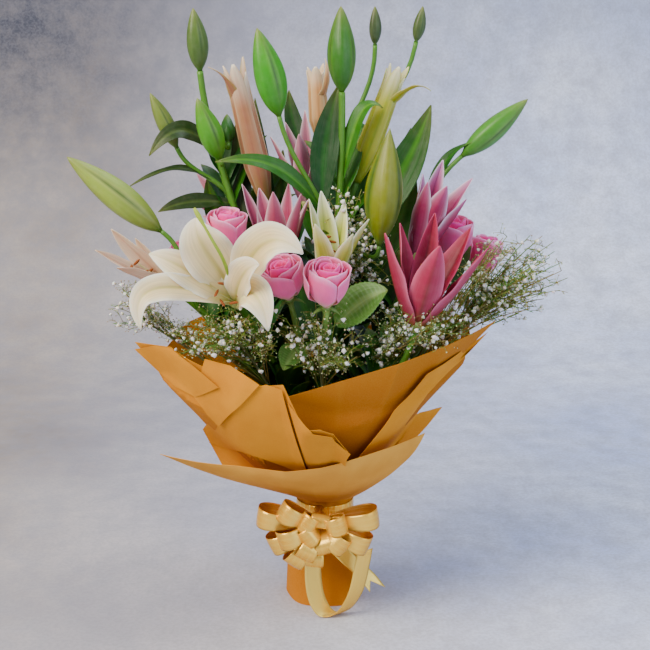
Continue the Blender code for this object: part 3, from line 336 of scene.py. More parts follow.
def build(name, node, slot, parts, *finishes):
    """One object of all the parts, their points and faces one after another, at the origin. It
    takes the place of its CAD node. Its `slot` is not used."""
    starts = np.cumsum([0] + [len(part.points) for part in parts])
    corners = np.concatenate(
        [np.concatenate([(part.quads + start).ravel(), (part.fans + start).ravel()])
         for part, start in zip(parts, starts)]).astype(np.int32)
    sides = np.concatenate([np.repeat((4, 3), (len(part.quads), len(part.fans)))
                            for part in parts])
    slots = np.concatenate([np.full(len(part.quads) + len(part.fans), part.finish)
                            for part in parts])
    mesh = bpy.data.meshes.new(name)
    mesh.vertices.add(starts[-1])
    mesh.vertices.foreach_set("co", np.concatenate([part.points for part in parts]).ravel())
    mesh.loops.add(len(corners))
    mesh.loops.foreach_set("vertex_index", corners)
    mesh.polygons.add(len(sides))
    mesh.polygons.foreach_set("loop_start", (np.cumsum(sides) - sides).astype(np.int32))
    mesh.polygons.foreach_set("material_index", slots.astype(np.int32))
    mesh.update(calc_edges=True)
    form = mesh.attributes.new("form", "FLOAT_VECTOR", "POINT")
    form.data.foreach_set("vector", np.concatenate([part.form for part in parts]).ravel())
    tint = np.concatenate([part.tint for part in parts])
    colour = mesh.attributes.new("tint", "FLOAT_COLOR", "POINT")
    colour.data.foreach_set("color", np.concatenate([tint, np.ones((len(tint), 1))], 1).ravel())
    mesh.shade_smooth()
    for finish in finishes:
        mesh.materials.append(finish)
    piece = placed(name, mesh)
    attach(piece, "root")
    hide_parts(node)
    return piece


def plant(name, across, depth, mottle, veins=0.30, **constants):
    """A plant's skin: the mesh's own tint, with fine lengthwise veins that are darker and a little
    sunk, `across` of them over its width, and mottled by soft cells a few mm wide."""
    made, tree, shader = material(name, **constants)
    tint = add(tree, "Attribute", attribute_name="tint")
    form = add(tree, "Attribute", attribute_name="form").outputs["Vector"]
    where = add(tree, "TexCoord").outputs["Object"]
    drawn = add(tree, "VectorMath", (form, (2.2, across, 1.0)), operation="MULTIPLY")
    streaks = add(tree, "TexNoise", {"Vector": drawn, "Scale": 1, "Detail": 3, "Roughness": 0.55})
    cells = add(tree, "TexNoise", {"Vector": where, "Scale": 140, "Detail": 4})
    veined = add(tree, "MapRange", (streaks, 0.62, 0.36, 0, veins))
    dark = add(tree, "Mix", {0: 0.55, 6: tint, 7: "#1C2208"}, data_type="RGBA")
    shaded = add(tree, "Mix", {0: veined, 6: tint, 7: dark}, data_type="RGBA")
    mottled = add(tree, "MapRange", (cells, 0.42, 0.72, 0, mottle))
    pale = add(tree, "Mix", {0: 0.35, 6: shaded, 7: "#F4EEDD"}, data_type="RGBA")
    painted = add(tree, "Mix", {0: mottled, 6: shaded, 7: pale}, data_type="RGBA")
    relief = add(tree, "Bump", {"Height": streaks, "Strength": depth, "Distance": 0.001})
    feed(shader, {"Base Color": painted, "Normal": relief})
    return made


# A waxed stem and bud skin: a soft broad shine over green flesh that lets a little light in.
green_skin = plant("waxy lily stem", 7, 0.30, 0.08, veins=0.40, roughness=0.42,
                   subsurface_weight=0.12, subsurface_scale=0.004, specular_ior_level=0.45)
# A lily leaf's cuticle: darker, with parallel veins and a sharper shine.
leaf_skin = plant("glossy lily leaf", 11, 0.35, 0.06, veins=0.42, roughness=0.38,
                  subsurface_weight=0.06, subsurface_scale=0.003, specular_ior_level=0.35)

# The way of a leaf's upper side.
TO_FRONT, UPWARD, ASLANT = (0.0, -1.0, 0.35), (0.0, -0.35, 1.0), (0.0, -0.8, 0.6)

Stem = namedtuple("Stem", "name radius heads leaves")
Head = namedtuple("Head", "name kind base tip width fork")
Leaf = namedtuple("Leaf", "root middle tip width facing", defaults=[TO_FRONT])

# Each stem, with the flowers and buds that it carries and its leaves. Points are as `seen` takes
# them, radius and width are in mm, and a branch leaves at four thirds of its fork up the stem's
# own curve.
LILY_STEMS = [
    Stem("lily_stem_left", 4.6, [
        Head("lily_faded", "bloom", (-150, 300, -32), (-214, 346, -66), 9.5, 1),
        Head("left_bud", "bud", (-164, 359, -24), (-258, 433, -30), 31, 0.62),
    ], []),
    Stem("lily_stem_back_left", 4.8, [
        Head("top_left_bud", "bud", (-125, 519, 42), (-132, 582, 42), 22, 1),
        Head("green_bud", "bud", (-105, 430, 18), (-128, 492, 4), 25, 0.62),
        Head("young_bud", "bud", (-97, 447, 48), (-98, 476, 66), 16, 0.66),
        Head("olive_bud", "bud", (-148, 442, 34), (-175, 497, 34), 18, 0.50),
    ], [
        Leaf((-118, 430, 38), (-150, 475, 24), (-176, 434, 12), 19, ASLANT),
        Leaf((-108, 415, 36), (-150, 432, 26), (-198, 402, 10), 10, UPWARD),
        Leaf((-105, 378, 36), (-140, 392, 26), (-167, 378, 14), 16, ASLANT),
        Leaf((-84, 350, 30), (-84, 420, 48), (-88, 474, 62), 20),
    ]),
    Stem("lily_stem_peach", 4.7, [
        Head("lily_peach_long", "trumpet", (-58, 383, 28), (-93, 531, 44), 25, 1),
        Head("lily_pink", "bloom", (-45, 305, -30), (-54, 402, -26), 12, 0.60),
    ], [
        Leaf((-50, 330, 20), (-66, 430, 52), (-70, 492, 74), 17),
    ]),
    Stem("lily_stem_white", 4.7, [
        Head("lily_white_open", "white", (-86, 284, -58), (-104, 306, -100), 0, 1),
    ], []),
    Stem("lily_stem_half_white", 4.5, [
        Head("lily_white_opening", "bloom", (5, 298, -50), (10, 382, -54), 12, 1),
    ], []),
    Stem("lily_stem_centre", 4.8, [
        Head("centre_bud", "bud", (17, 498, 18), (16, 584, 26), 30, 1),
        Head("bright_bud", "bud", (-46, 474, -14), (-68, 562, -18), 31, 0.42),
    ], [
        Leaf((-8, 372, 0), (-50, 440, -24), (-110, 428, -34), 16, ASLANT),
        Leaf((2, 385, 6), (-2, 450, 14), (14, 506, 26), 26),
        Leaf((8, 405, 8), (36, 500, 14), (58, 482, 18), 18, UPWARD),
    ]),
    Stem("lily_stem_lavender", 4.6, [
        Head("lily_peach_short", "trumpet", (-4, 448, 78), (-10, 526, 88), 20, 1),
        Head("lily_mauve", "bloom", (-17, 378, 38), (-26, 462, 42), 10, 0.66),
        Head("top_small_bud", "bud", (50, 545, 84), (50, 584, 84), 13, 0.60),
        Head("top_right_bud", "bud", (91, 548, 72), (98, 584, 72), 13, 0.56),
    ], [
        Leaf((-8, 400, 66), (-36, 470, 96), (-36, 500, 104), 18),
        Leaf((6, 420, 70), (30, 470, 104), (44, 458, 112), 18),
    ]),
    Stem("lily_stem_yellow", 4.8, [
        Head("lily_green_white", "trumpet", (31, 408, 30), (75, 527, 50), 23, 1),
        Head("yellow_bud", "bud", (54, 344, -32), (65, 462, -22), 40, 0.56),
    ], [
        Leaf((64, 350, 34), (84, 420, 40), (106, 485, 48), 34),
        Leaf((60, 352, 46), (70, 400, 56), (86, 462, 60), 26),
    ]),
    Stem("lily_stem_right", 4.6, [
        Head("lily_lavender", "bloom", (88, 330, 2), (116, 410, 0), 13.5, 1),
        Head("right_bud", "bud", (137, 434, 34), (203, 491, 34), 24, 0.58),
    ], [
        Leaf((96, 384, 40), (120, 440, 50), (154, 450, 24), 15, UPWARD),
    ]),
    Stem("lily_stem_deep_pink", 4.6, [
        Head("lily_deep_pink", "bloom", (89, 258, -75), (112, 358, -72), 15, 1),
    ], []),
    Stem("lily_stem_back", 4.5, [
        Head("lily_mauve_back", "bloom", (-74, 352, 92), (-116, 404, 128), 10, 1),
    ], []),
]

# How each bud is coloured: its flesh and its ribs.
BUD_COLOURS = {
    "left_bud": ("#97B03E", "#C9D477"), "top_left_bud": ("#4F7028", "#7A9042"),
    "green_bud": ("#4FA80F", "#8FD23C"), "young_bud": ("#1F6A14", "#3F9130"),
    "olive_bud": ("#738A30", "#9DAA50"), "centre_bud": ("#2A7404", "#6FAE26"),
    "bright_bud": ("#37A006", "#74D022"), "top_small_bud": ("#3F522A", "#5F703C"),
    "top_right_bud": ("#4A602C", "#6C8040"), "yellow_bud": ("#828A00", "#466E00"),
    "right_bud": ("#4A9626", "#8ABF52"),
}
BUD_SLIM, YELLOW_SLIM = 1.15, 1.5      # how much each bud narrows towards its ends
STEM_GREEN, STEM_DARK, TIP_GREEN = "#4F8A1E", "#2C5512", "#7F8B3C"

# Where each stem stands in the bundle where it is tied, in mm right of and behind its middle.
SLOTS = {
    "lily_stem_left": (-13.9, -5.23), "lily_stem_back_left": (-14.95, 11.53),
    "lily_stem_peach": (-5.71, 7.93), "lily_stem_white": (-4.64, -14.64),
    "lily_stem_half_white": (6.66, -7.04), "lily_stem_centre": (0, 0),
    "lily_stem_lavender": (1.3, 14.07), "lily_stem_yellow": (7.09, 6.51),
    "lily_stem_right": (13.22, -0.69), "lily_stem_deep_pink": (6.78, -16.19),
    "lily_stem_back": (-7.3, 16.82), "rose_left": (-7.83, 0.49), "rose_middle": (-6.27, -5.33),
    "rose_front": (-0.82, -7.92), "rose_hidden": (-12.71, 4.03), "rose_right": (14.92, 6.75),
    "rose_far_right": (12.42, 12.25), "gypsophila_right": (18.28, 3.28),
    "gypsophila_left": (-16.26, 0.75), "gypsophila_front_left": (-8.69, -9.52),
    "gypsophila_front": (2.19, -11.69), "gypsophila_front_right": (12.98, -7.26),
    "gypsophila_centre": (6.62, -0.41), "gypsophila_back": (7.66, 13.12),
}
# How much wider the bundle is at its foot, how high it is tied, a branch's radius, and below a
# head the neck's straight stretch and the gap.
STEM_SPREAD, TIE_HEIGHT, BRANCH, LAST_STRETCH, GAP = 1.4, 105 * MM, 2.6 * MM, 4 * MM, 0.4 * MM


def slot_of(name):
    """Where a stem stands in the bundle, in metres."""
    return np.array([*SLOTS[name], 0.0]) * MM


def stem_line(name, end, axis, neck_share=0.26, swing=(0, 0, 0)):
    """A stem's line: straight from its cut end to the tie, a cubic Bezier curve from there to the
    neck, and the last stretch along the flower's axis. Also the curve's four points."""
    slot = slot_of(name)
    tie = slot + UP * TIE_HEIGHT
    reach = np.linalg.norm(end - tie)
    outward = unit(slot + np.array(swing) * MM + UP * reach * 0.5)
    neck = end - axis * LAST_STRETCH
    curve = (tie, tie + outward * reach * 0.36, neck - axis * reach * neck_share, neck)
    foot = slot * STEM_SPREAD
    low = foot + (tie - foot) * np.linspace(0, 1, 7)[:-1, None]
    return np.concatenate([low, bezier(curve, np.linspace(0, 1, 26))[0], end[None]]), curve


def branch_line(root, way, end, axis):
    """A branch's line: a cubic Bezier curve that leaves the stem its own way."""
    reach = np.linalg.norm(end - root)
    neck = end - axis * LAST_STRETCH
    curve = (root, root + way * reach * 0.35, neck - axis * reach * 0.34, neck)
    return np.concatenate([bezier(curve, np.linspace(0, 1, 16))[0], end[None]])


def stalk(line, first, last, shade=0.5):
    """A stem along a line, with swollen rings where leaves once sat, darker towards the floor."""
    share = np.linspace(0, 1, len(line))
    rings = 1 + 0.05 * np.maximum(np.sin(share * 46 + 9 * shade), 0)**6
    tint = blend(share, (0, 0.35, 1), (STEM_DARK, STEM_GREEN, STEM_GREEN))
    return tube(line, np.linspace(first, last, len(line)) * rings, tint * (0.8 + 0.4 * shade))


def bud(name, base, tip, width):
    """A tight bud: the profile is a blunt-pointed sine over its height, and three broad tepals and
    their midribs swell it by a few hundredths as it turns."""
    height = np.linspace(0, 1, 30)
    turn = np.linspace(0, tau, 30, endpoint=False)
    profile = np.maximum(np.sin(pi * height**0.92), 0.008)**0.62 * (1.06 - 0.25 * height)
    slim = YELLOW_SLIM if name == "yellow_bud" else BUD_SLIM
    radius = np.maximum(profile**slim * width / 2, BRANCH * 0.9 * (1 - height / 0.12))
    middle = np.sin(pi * height)[:, None]
    seam = np.abs(np.cos(1.5 * turn))**0.5
    lobes = 1 + middle * (0.20 * (seam - 0.8) + 0.05 * np.cos(6 * turn))
    flesh, rib = BUD_COLOURS[name]
    tint = blend(height, (0, 0.10, 1), (STEM_GREEN, flesh, flesh))[:, None]
    height = height[:, None]
    tint = toward(tint, rib, np.clip(np.cos(3 * turn + pi), 0, 1)**3 * middle * 0.9)
    # Painted shade: a dark line darkens each groove between the tepals.
    tint = toward(tint, STEM_DARK, (1 - seam)**1.5 * 0.9 * middle)
    tint = toward(tint, STEM_DARK, 0.45 * (1 - height)**3)
    tint = toward(tint, TIP_GREEN, height**7)
    line = base + (tip - base) * height
    return tube(line, radius, tint, sides=30, lobes=lobes)


def blade(spine, half_width, facing, paint, upper, under=None, peak=0.5, root=0.25, cup=0.3,
          rows=20, columns=11, thickness=0.7 * MM, wave=0.0, waves=3.0, keel=0.0, start=0.0,
          finish=0):
    """A petal or leaf along a cubic Bezier spine. Its half width is a sine that is highest at
    `peak` and starts at `root` of the full width. `facing` is the way of its upper side. `cup`
    bends its edges that way, `wave` ripples them, and `keel` sinks its midrib. `paint` colours its
    upper and under side from what is listed for each."""
    u = np.linspace(0, 1, rows)[:, None]
    v = crowded(columns)[None]
    middle, way = bezier([np.asarray(point, float) for point in spine], u[:, 0])
    face = facing(middle) if callable(facing) else np.array(facing, float)
    side = unit(np.cross(way, np.broadcast_to(face, middle.shape)))
    lift = np.cross(side, way)
    width = np.sin(pi * u**(log(0.5) / log(peak)))**0.8 + root * (1 - u)**2
    width = half_width * np.maximum(width, 0.045)
    rise = (cup * np.abs(v)**1.5 * width - keel * np.exp(-(v / 0.13)**2) * (1 - 0.7 * u)
            + wave * np.sin(tau * (waves * u + start) + 1.3 * np.sign(v)) * np.abs(v)**3
            * np.sin(pi * np.clip(u * 1.05, 0, 1)))
    points = (middle[:, None] + side[:, None] * (v * width)[..., None]
              + lift[:, None] * rise[..., None])
    thin = thickness * (1 - 0.55 * np.abs(v)**5)[..., None]
    u, v = np.broadcast_arrays(u, v)
    return slab(points, thin, paint(u, v, *upper), paint(u, v, *under) if under else None,
                finish=finish)


def leaf_paint(u, v, base, rib):
    """A leaf's tint: its base colour, with a paler midrib and a browner tip."""
    tint = toward(linear(base), rib, np.exp(-(v / 0.10)**2) * 0.75)
    return toward(tint, "#6E7A2E", u**10 * 0.8)


# Leaf colours: base and midrib. Shade leaves take one of the first three, the darkest, as painted
# shade, and two stems have their own.
LEAF_COLOURS = [("#125604", "#348010"), ("#206604", "#4C9610"), ("#0C4812", "#226A1E"),
                ("#2E7604", "#62A414")]
STEM_LEAVES = {"lily_stem_yellow": ("#185A04", "#4E9E12"),
               "lily_stem_back_left": ("#1E3A0A", "#4A6424")}

# The long leaves that stand free of the flowers: the point in mm near which each is rooted on its
# stem, its way outward, its length in mm and how steeply it rises.
FREE_LEAVES = {
    "lily_stem_left": [((-46.0, -7.7, 202.9), (-0.70, -0.72), 90.3, 0.85),
                       ((-43.7, -7.4, 199.2), (-0.42, -0.91), 73.7, 0.69)],
    "lily_stem_peach": [((-31.0, 18.1, 284.5), (-0.31, 0.95), 85.4, 0.92)],
    "lily_stem_white": [((-56.3, -26.9, 270.8), (-0.99, -0.16), 88.0, 0.94),
                        ((-49.0, -24.5, 253.8), (0.97, 0.24), 81.4, 0.96)],
    "lily_stem_half_white": [((4.6, -48.2, 323.0), (-0.39, 0.92), 82.2, 0.86),
                             ((5.4, -33.3, 243.5), (0.54, -0.84), 90.2, 0.78)],
    "lily_stem_yellow": [((8.5, 11.2, 215.0), (0.74, 0.67), 61.9, 0.96)],
    "lily_stem_right": [((59.1, 1.9, 277.6), (0.74, -0.67), 86.2, 1.02)],
    "lily_stem_deep_pink": [((46.7, -53.0, 216.8), (-0.63, 0.78), 88.3, 1.07),
                            ((32.8, -42.1, 190.3), (1.0, 0.03), 73.4, 0.72)],
    "lily_stem_back": [((-29.5, 47.3, 251.3), (-0.81, 0.59), 63.3, 0.88),
                       ((-14.1, 27.9, 169.9), (0.26, 0.97), 65.2, 0.70)],
}
FREE_HALF_WIDTH = 8.2 * MM

# Broad dark leaves that stand upright behind the flowers and close the gaps between them.
BACK_LEAVES = {
    "lily_stem_centre": [Leaf((12, 330, 16), (32, 392, 34), (40, 452, 48), 32),
                         Leaf((-6, 330, 24), (-18, 388, 44), (-12, 446, 58), 30),
                         Leaf((30, 300, 8), (52, 340, 22), (46, 392, 30), 30)],
    "lily_stem_yellow": [Leaf((50, 280, 16), (79, 350, 34), (88, 428, 46), 36),
                         Leaf((36, 262, 0), (66, 290, 12), (74, 340, 22), 30)],
    "lily_stem_right": [Leaf((70, 262, 16), (96, 300, 36), (104, 352, 50), 30),
                        Leaf((84, 290, 24), (128, 312, 34), (146, 344, 36), 24)],
    "lily_stem_peach": [Leaf((-44, 320, 34), (-50, 384, 52), (-42, 440, 60), 28),
                        Leaf((-70, 320, 24), (-84, 362, 40), (-80, 412, 50), 26)],
    "lily_stem_back_left": [Leaf((-96, 330, 30), (-112, 372, 44), (-118, 412, 48), 24)],
    "lily_stem_half_white": [Leaf((-2, 250, -30), (-30, 286, -34), (-24, 330, -30), 26)],
}


def nearest(lines, point):
    """The point of any of the lines that lies nearest to a point."""
    spots = np.concatenate(lines)
    return spots[np.linalg.norm(spots - point, axis=1).argmin()]


def free_leaf(root, way, outward, length, rise, half_width, colours, draw):
    """A blade whose spine leaves the stem between its way and outward, arches and rises."""
    outward = np.array([*outward, 0.0])
    tip = root + unit(outward + UP * rise) * length
    spine = (root, root + (way + outward * 0.5) * length * 0.3,
             root + (tip - root) * 0.7 + UP * length * 0.12, tip)
    return blade(spine, half_width, UP - outward * 0.4, leaf_paint, colours, cup=0.2,
                 wave=draw.uniform(0.3, 1.0) * MM, waves=draw.uniform(1.5, 3), keel=0.9 * MM,
                 start=draw.uniform(0, 1), thickness=0.5 * MM, rows=13, columns=7, finish=1)


# Shade leaves low in the wrap: how many are tried on each stem, between which shares of its curve,
# above which share they only point to the back, and how far from the paper they stay.
SHADE_LEAVES, SHADE_SEED = 30, 4
SHADE_LOW, SHADE_HIGH, OPEN_ABOVE, LEAF_ROOM = 0.08, 0.80, 0.55, 2 * MM

# The inner sheet's waist, how high it reaches, and its sleeve's radius at the foot.
WAIST_RADIUS, WAIST_TOP, SLEEVE_RADIUS = 27.98 * MM, 114 * MM, 40 * MM
# The paper bowl at twelve even angles, from the front round by the right: the rim's radius and
# height, and those of the point towards which it bends on its way up from the waist.
BOWL = np.array([
    (84, 206, 54, 140), (92, 220, 54, 146), (114, 240, 56, 160), (140, 266, 60, 170),
    (163, 277, 84, 162), (132, 280, 80, 154), (124, 280, 80, 150), (134, 280, 84, 150),
    (156, 274, 88, 152), (160, 254, 80, 150), (136, 232, 68, 144), (102, 212, 56, 140),
]) * MM


def bowl_at(angle):
    """The bowl's rim and bend at angles round Z, eased from each row of BOWL to the next."""
    spot = (np.asarray(angle) / tau + 0.25) % 1.0 * len(BOWL)
    low = np.floor(spot).astype(int)
    near = (BOWL[(low + k) % len(BOWL)] for k in (-1, 0, 1, 2))
    return np.moveaxis(eased(*near, (spot - low)[..., None]), -1, 0)


def inner_sheet(u, v):
    """Up to u = 0.5 the sleeve, drawn in where the ribbon holds it, and above it the bowl."""
    angle = pi * v
    rim_radius, rim_height, bend_radius, bend_height = bowl_at(angle)
    low, t = np.clip(u * 2, 0, 1), np.clip(u * 2 - 1, 0, 1)
    neck = np.clip(low * 2.5 - 0.75, 0, 1)
    radius = SLEEVE_RADIUS + (WAIST_RADIUS - SLEEVE_RADIUS) * (3 * neck**2 - 2 * neck**3)
    height = WAIST_TOP * low
    return polar(arc(radius, bend_radius, rim_radius, t), angle,
                 arc(height, bend_height, rim_height, t))


def bowl_radius(angle, height):
    """How far out the inner sheet is at an angle and a height above the waist: its height is
    quadratic in t, which is solved for t."""
    rim_radius, rim_height, bend_radius, bend_height = bowl_at(angle)
    a = WAIST_TOP - 2 * bend_height + rim_height
    b = 2 * (bend_height - WAIST_TOP)
    c = WAIST_TOP - height
    t = np.clip((-b + np.sqrt(np.maximum(b * b - 4 * a * c, 0))) / (2 * a), 0, 1)
    return arc(WAIST_RADIUS, bend_radius, rim_radius, t)


OUTER_RISE = 52 * MM        # how much higher the outer sheets stand in front than the inner one


def within_wrap(points, room):
    """Whether all the points stay inside the paper, or above its rim, with some room left."""
    angle = np.arctan2(points[..., 1], points[..., 0])
    rim_height = bowl_at(angle)[1] + OUTER_RISE * np.clip(-1.6 * np.sin(angle), 0, 1)
    height = np.maximum(points[..., 2], WAIST_TOP)
    inside = np.hypot(points[..., 0], points[..., 1]) < bowl_radius(angle, height) - room
    return bool(np.all(inside | (points[..., 2] > rim_height + room)))


flower_feet = {}
for number, stem in enumerate(LILY_STEMS):
    draw = np.random.default_rng(SHADE_SEED + number)
    parts, lines = [], []
    shade = draw.uniform(0.3, 0.8)
    for head in stem.heads:
        base, tip = seen([head.base, head.tip])
        axis = unit(tip - base)
        end = base if head.kind == "bud" else base - axis * GAP
        if lines:
            root, way = bezier(curve, [head.fork * 4 / 3])
            line = branch_line(root[0], way[0], end, axis)
            parts.append(stalk(line, BRANCH, BRANCH * 0.9, shade))
        else:
            line, curve = stem_line(stem.name, end, axis)
            parts.append(stalk(line, stem.radius * MM, stem.radius * MM * 0.66, shade))
        lines.append(line)
        if head.kind == "bud":
            parts.append(bud(head.name, base, tip, head.width * MM))
        else:
            flower_feet[head.name] = (head, base, tip, axis)
    for k, leaf in enumerate(stem.leaves + BACK_LEAVES.get(stem.name, [])):
        root, middle, tip = seen([leaf.root, leaf.middle, leaf.tip])
        root = nearest(lines, root)
        colours = LEAF_COLOURS[(number + k) % len(LEAF_COLOURS)]
        if k < len(stem.leaves):
            colours = STEM_LEAVES.get(stem.name, colours)
        parts.append(blade((root, root + (middle - root) * 0.55, middle, tip),
                           leaf.width / 2 * MM, leaf.facing, leaf_paint, colours, peak=0.55,
                           root=0.3, cup=0.2, wave=0.8 * MM, waves=2.2, keel=1.2 * MM,
                           thickness=0.6 * MM, rows=26, finish=1))
    for root, outward, length, rise in FREE_LEAVES.get(stem.name, []):
        root = nearest(lines, np.array(root) * MM)
        parts.append(free_leaf(root, UP, outward, length * MM, rise, FREE_HALF_WIDTH,
                               LEAF_COLOURS[(number + len(parts)) % len(LEAF_COLOURS)], draw))
    # Painted shade: the shade leaves get one of the three darkest leaf colours.
    for _ in range(SHADE_LEAVES):
        share = draw.uniform(SHADE_LOW, SHADE_HIGH)
        root, way = bezier(curve, [share])
        turn = draw.uniform(0, pi if share > OPEN_ABOVE else tau)
        leaf = free_leaf(root[0], way[0], (cos(turn), sin(turn)), draw.uniform(50, 88) * MM,
                         draw.uniform(0.6, 2.0), draw.uniform(7, 13) * MM,
                         LEAF_COLOURS[int(draw.integers(3))], draw)
        if within_wrap(leaf.points, LEAF_ROOM):
            parts.append(leaf)
    build("green_" + stem.name, stem.name, "lily_green", parts, green_skin, leaf_skin)


# -------------------------------------------------------------------------------- lily flowers
# Oriental lilies at every stage, from closed trumpets to one wide open bloom. Each has six thick
# silky petals on a green-white foot, with a sunk midrib, pale rims and rust-brown anthers.

# A lily petal is a wet, finely grained tissue: soft shine, light that spreads inside it and fine
# lengthwise veins that show as slightly darker streaks.
petal_skin = plant("silky lily petal", 15, 0.30, 0.07, veins=0.27, roughness=0.48,
                   specular_ior_level=0.30, subsurface_weight=0.16, subsurface_scale=0.004)
# An anther is covered with loose pollen, so it is dull and grainy.
pollen, tree, shader = material("rust pollen", roughness=0.95)
specks = add(tree, "TexNoise", {"Vector": add(tree, "TexCoord").outputs["Object"],
                                "Scale": 2600, "Detail": 2})
dust = add(tree, "Mix", {0: add(tree, "MapRange", (specks, 0.35, 0.65)),
                         6: "#6B3212", 7: "#A9602A"}, data_type="RGBA")
relief = add(tree, "Bump", {"Height": specks, "Strength": 0.5, "Distance": 0.0004})
feed(shader, {"Base Color": dust, "Normal": relief})

# Where the six tips of each half-open lily are seen, in order round the flower, and how far its
# petals bulge out above its foot, in mm.
TIPS = {
    "lily_faded": ([(-230, 340, -62), (-214, 361, -42), (-190, 352, -22),
                    (-176, 322, -34), (-190, 306, -62), (-208, 322, -76)], 8),
    "lily_pink": ([(-83, 406, -4), (-66, 402, 8), (-36, 408, -2),
                   (-17, 390, -22), (-24, 396, -52), (-52, 398, -54)], 15),
    "lily_white_opening": ([(-16, 391, -44), (-4, 399, -26), (20, 388, -28),
                            (44, 371, -62), (28, 356, -84), (-10, 366, -82)], 12),
    "lily_mauve": ([(-54, 453, 34), (-40, 468, 56), (-20, 480, 60),
                    (2, 462, 50), (-2, 457, 24), (-26, 456, 18)], 9),
    "lily_lavender": ([(103, 408, -24), (98, 416, 10), (118, 430, 24),
                       (148, 412, 18), (141, 391, -12), (122, 404, -30)], 15),
    "lily_deep_pink": ([(60, 357, -92), (75, 367, -56), (110, 377, -40),
                        (146, 362, -46), (163, 342, -80), (115, 344, -114)], 22),
    "lily_mauve_back": ([(-128, 416, 112), (-104, 430, 118), (-84, 414, 134),
                         (-92, 384, 150), (-122, 374, 150), (-140, 394, 134)], 11),
}

# The open white lily's petals: the two points that bend each, its tip and its half width.
WHITE_PETALS = [
    ((-100, 322, -82), (-134, 346, -104), (-129, 372, -86), 23),
    ((-114, 302, -86), (-146, 330, -104), (-176, 336, -90), 15),
    ((-124, 302, -98), (-206, 324, -118), (-184, 260, -124), 13),
    ((-86, 322, -92), (-62, 376, -126), (-22, 336, -130), 19),
    ((-92, 296, -100), (-84, 326, -130), (-66, 325, -146), 15),
    ((-88, 294, -100), (-66, 318, -142), (-57, 259, -138), 17),
]

# The one petal of a trumpet lily that has curled away already.
CURLS = {
    "lily_peach_long": ((-92, 488, 34), (-92, 514, 28), (-117, 523, 26)),
    "lily_peach_short": ((-2, 486, 74), (6, 510, 72), (0, 532, 70)),
    "lily_green_white": ((72, 490, 34), (90, 514, 26), (106, 499, 24)),
}

# Each lily's material slot, and the colours of its petals' upper side and under side: root,
# middle, tip, midrib and rim.
PETAL_COLOURS = {
    "lily_faded": ("faded",
        ("#C9C07A", "#EBCFB4", "#DDB48E", "#C98F76", "#F2DCC4"),
        ("#BFB86A", "#E8C9AC", "#D3A37E", "#CBA083", "#EFD6BC")),
    "lily_pink": ("pink",
        ("#B87C60", "#B43A68", "#C87090", "#7C1C44", "#F4D2DE"),
        ("#A87C50", "#A63C5E", "#C06884", "#822448", "#EECAD6")),
    "lily_white_open": ("white",
        ("#9CA81E", "#F6DFA8", "#FFF1D6", "#B4AE3C", "#FFFAEC"),
        ("#AEB042", "#EED89A", "#FAE8C4", "#C0B45C", "#FFF6E2")),
    "lily_white_opening": ("white",
        ("#7E9A0C", "#C8D05C", "#F2F2CC", "#7C9410", "#FFFFF0"),
        ("#7E9A0C", "#BCCA50", "#E8ECB4", "#8A9E18", "#FCFCE4")),
    "lily_mauve": ("lavender",
        ("#A07860", "#B06C88", "#CE98AA", "#78385C", "#ECD6DA"),
        ("#98765A", "#AC6884", "#C890A2", "#7C3C60", "#E8D0D6")),
    "lily_lavender": ("lavender",
        ("#943C5C", "#B03070", "#D898CC", "#6C1048", "#F6E6FA"),
        ("#94445C", "#B02C60", "#C86A9C", "#7A144C", "#F0DAF2")),
    "lily_deep_pink": ("deep_pink",
        ("#8C1430", "#84002E", "#A6003C", "#400014", "#C23C6C"),
        ("#A8642C", "#A4244A", "#BA3462", "#6A2A1C", "#D87092")),
    "lily_mauve_back": ("lavender",
        ("#A86478", "#B2547C", "#CC8A9E", "#7C2A50", "#D8A6B2"),
        ("#9C6854", "#AC5A78", "#C27C90", "#84365A", "#D29AA6")),
    "lily_peach_long": ("peach",
        ("#6E761C", "#B07A56", "#FAEAD4", "#A06450", "#D0B090"),
        ("#6C7A1E", "#AA7858", "#F8E4D0", "#9C5C4C", "#B4A858")),
    "lily_peach_short": ("peach",
        ("#8C8230", "#DCA870", "#FCEED2", "#B47C48", "#EACC9C"),
        ("#86802E", "#D8A46C", "#FAE8C8", "#B0784A", "#E8D6A4")),
    "lily_green_white": ("pale_green",
        ("#7E9604", "#BABA30", "#FCF8D6", "#8AA010", "#CCCC64"),
        ("#788F04", "#ACB020", "#F8F6CC", "#7E9A0C", "#D8D87C")),
}
FOOT_COLOUR = "#A9B56A"


def petal_paint(u, v, root, middle, tip, rib, rim, shade=1.0):
    """A petal's tint: root, middle and tip follow one another along it, the midrib lies over its
    middle and fades towards the tip, a broad band of the midrib's colour over the lower middle is
    painted shade, and the rim lies over its edges."""
    tint = blend(u, (0, 0.26, 0.70, 1), (root, middle, middle, tip)) * shade
    tint = toward(tint, rib, np.exp(-(v / 0.09)**2) * (1 - u)**0.5 * 0.80)
    # Painted shade: a broad band of the midrib's colour over the lower middle.
    tint = toward(tint, rib, np.exp(-(v / 0.40)**2) * (1 - u)**1.4 * 0.35)
    return toward(tint, rim, np.abs(v)**4 * 0.95 * np.clip(u * 3, 0, 1))


def flower_foot(base, axis):
    """The green-white cup that holds a flower's petals together, flat where it meets its stem."""
    height = np.array([0, 2, 6, 10, 12]) * MM
    radius = np.array([3.6, 4.3, 5.6, 6.4, 5.8]) * MM
    return tube(base + axis * height[:, None], radius, linear(FOOT_COLOUR), sides=18)


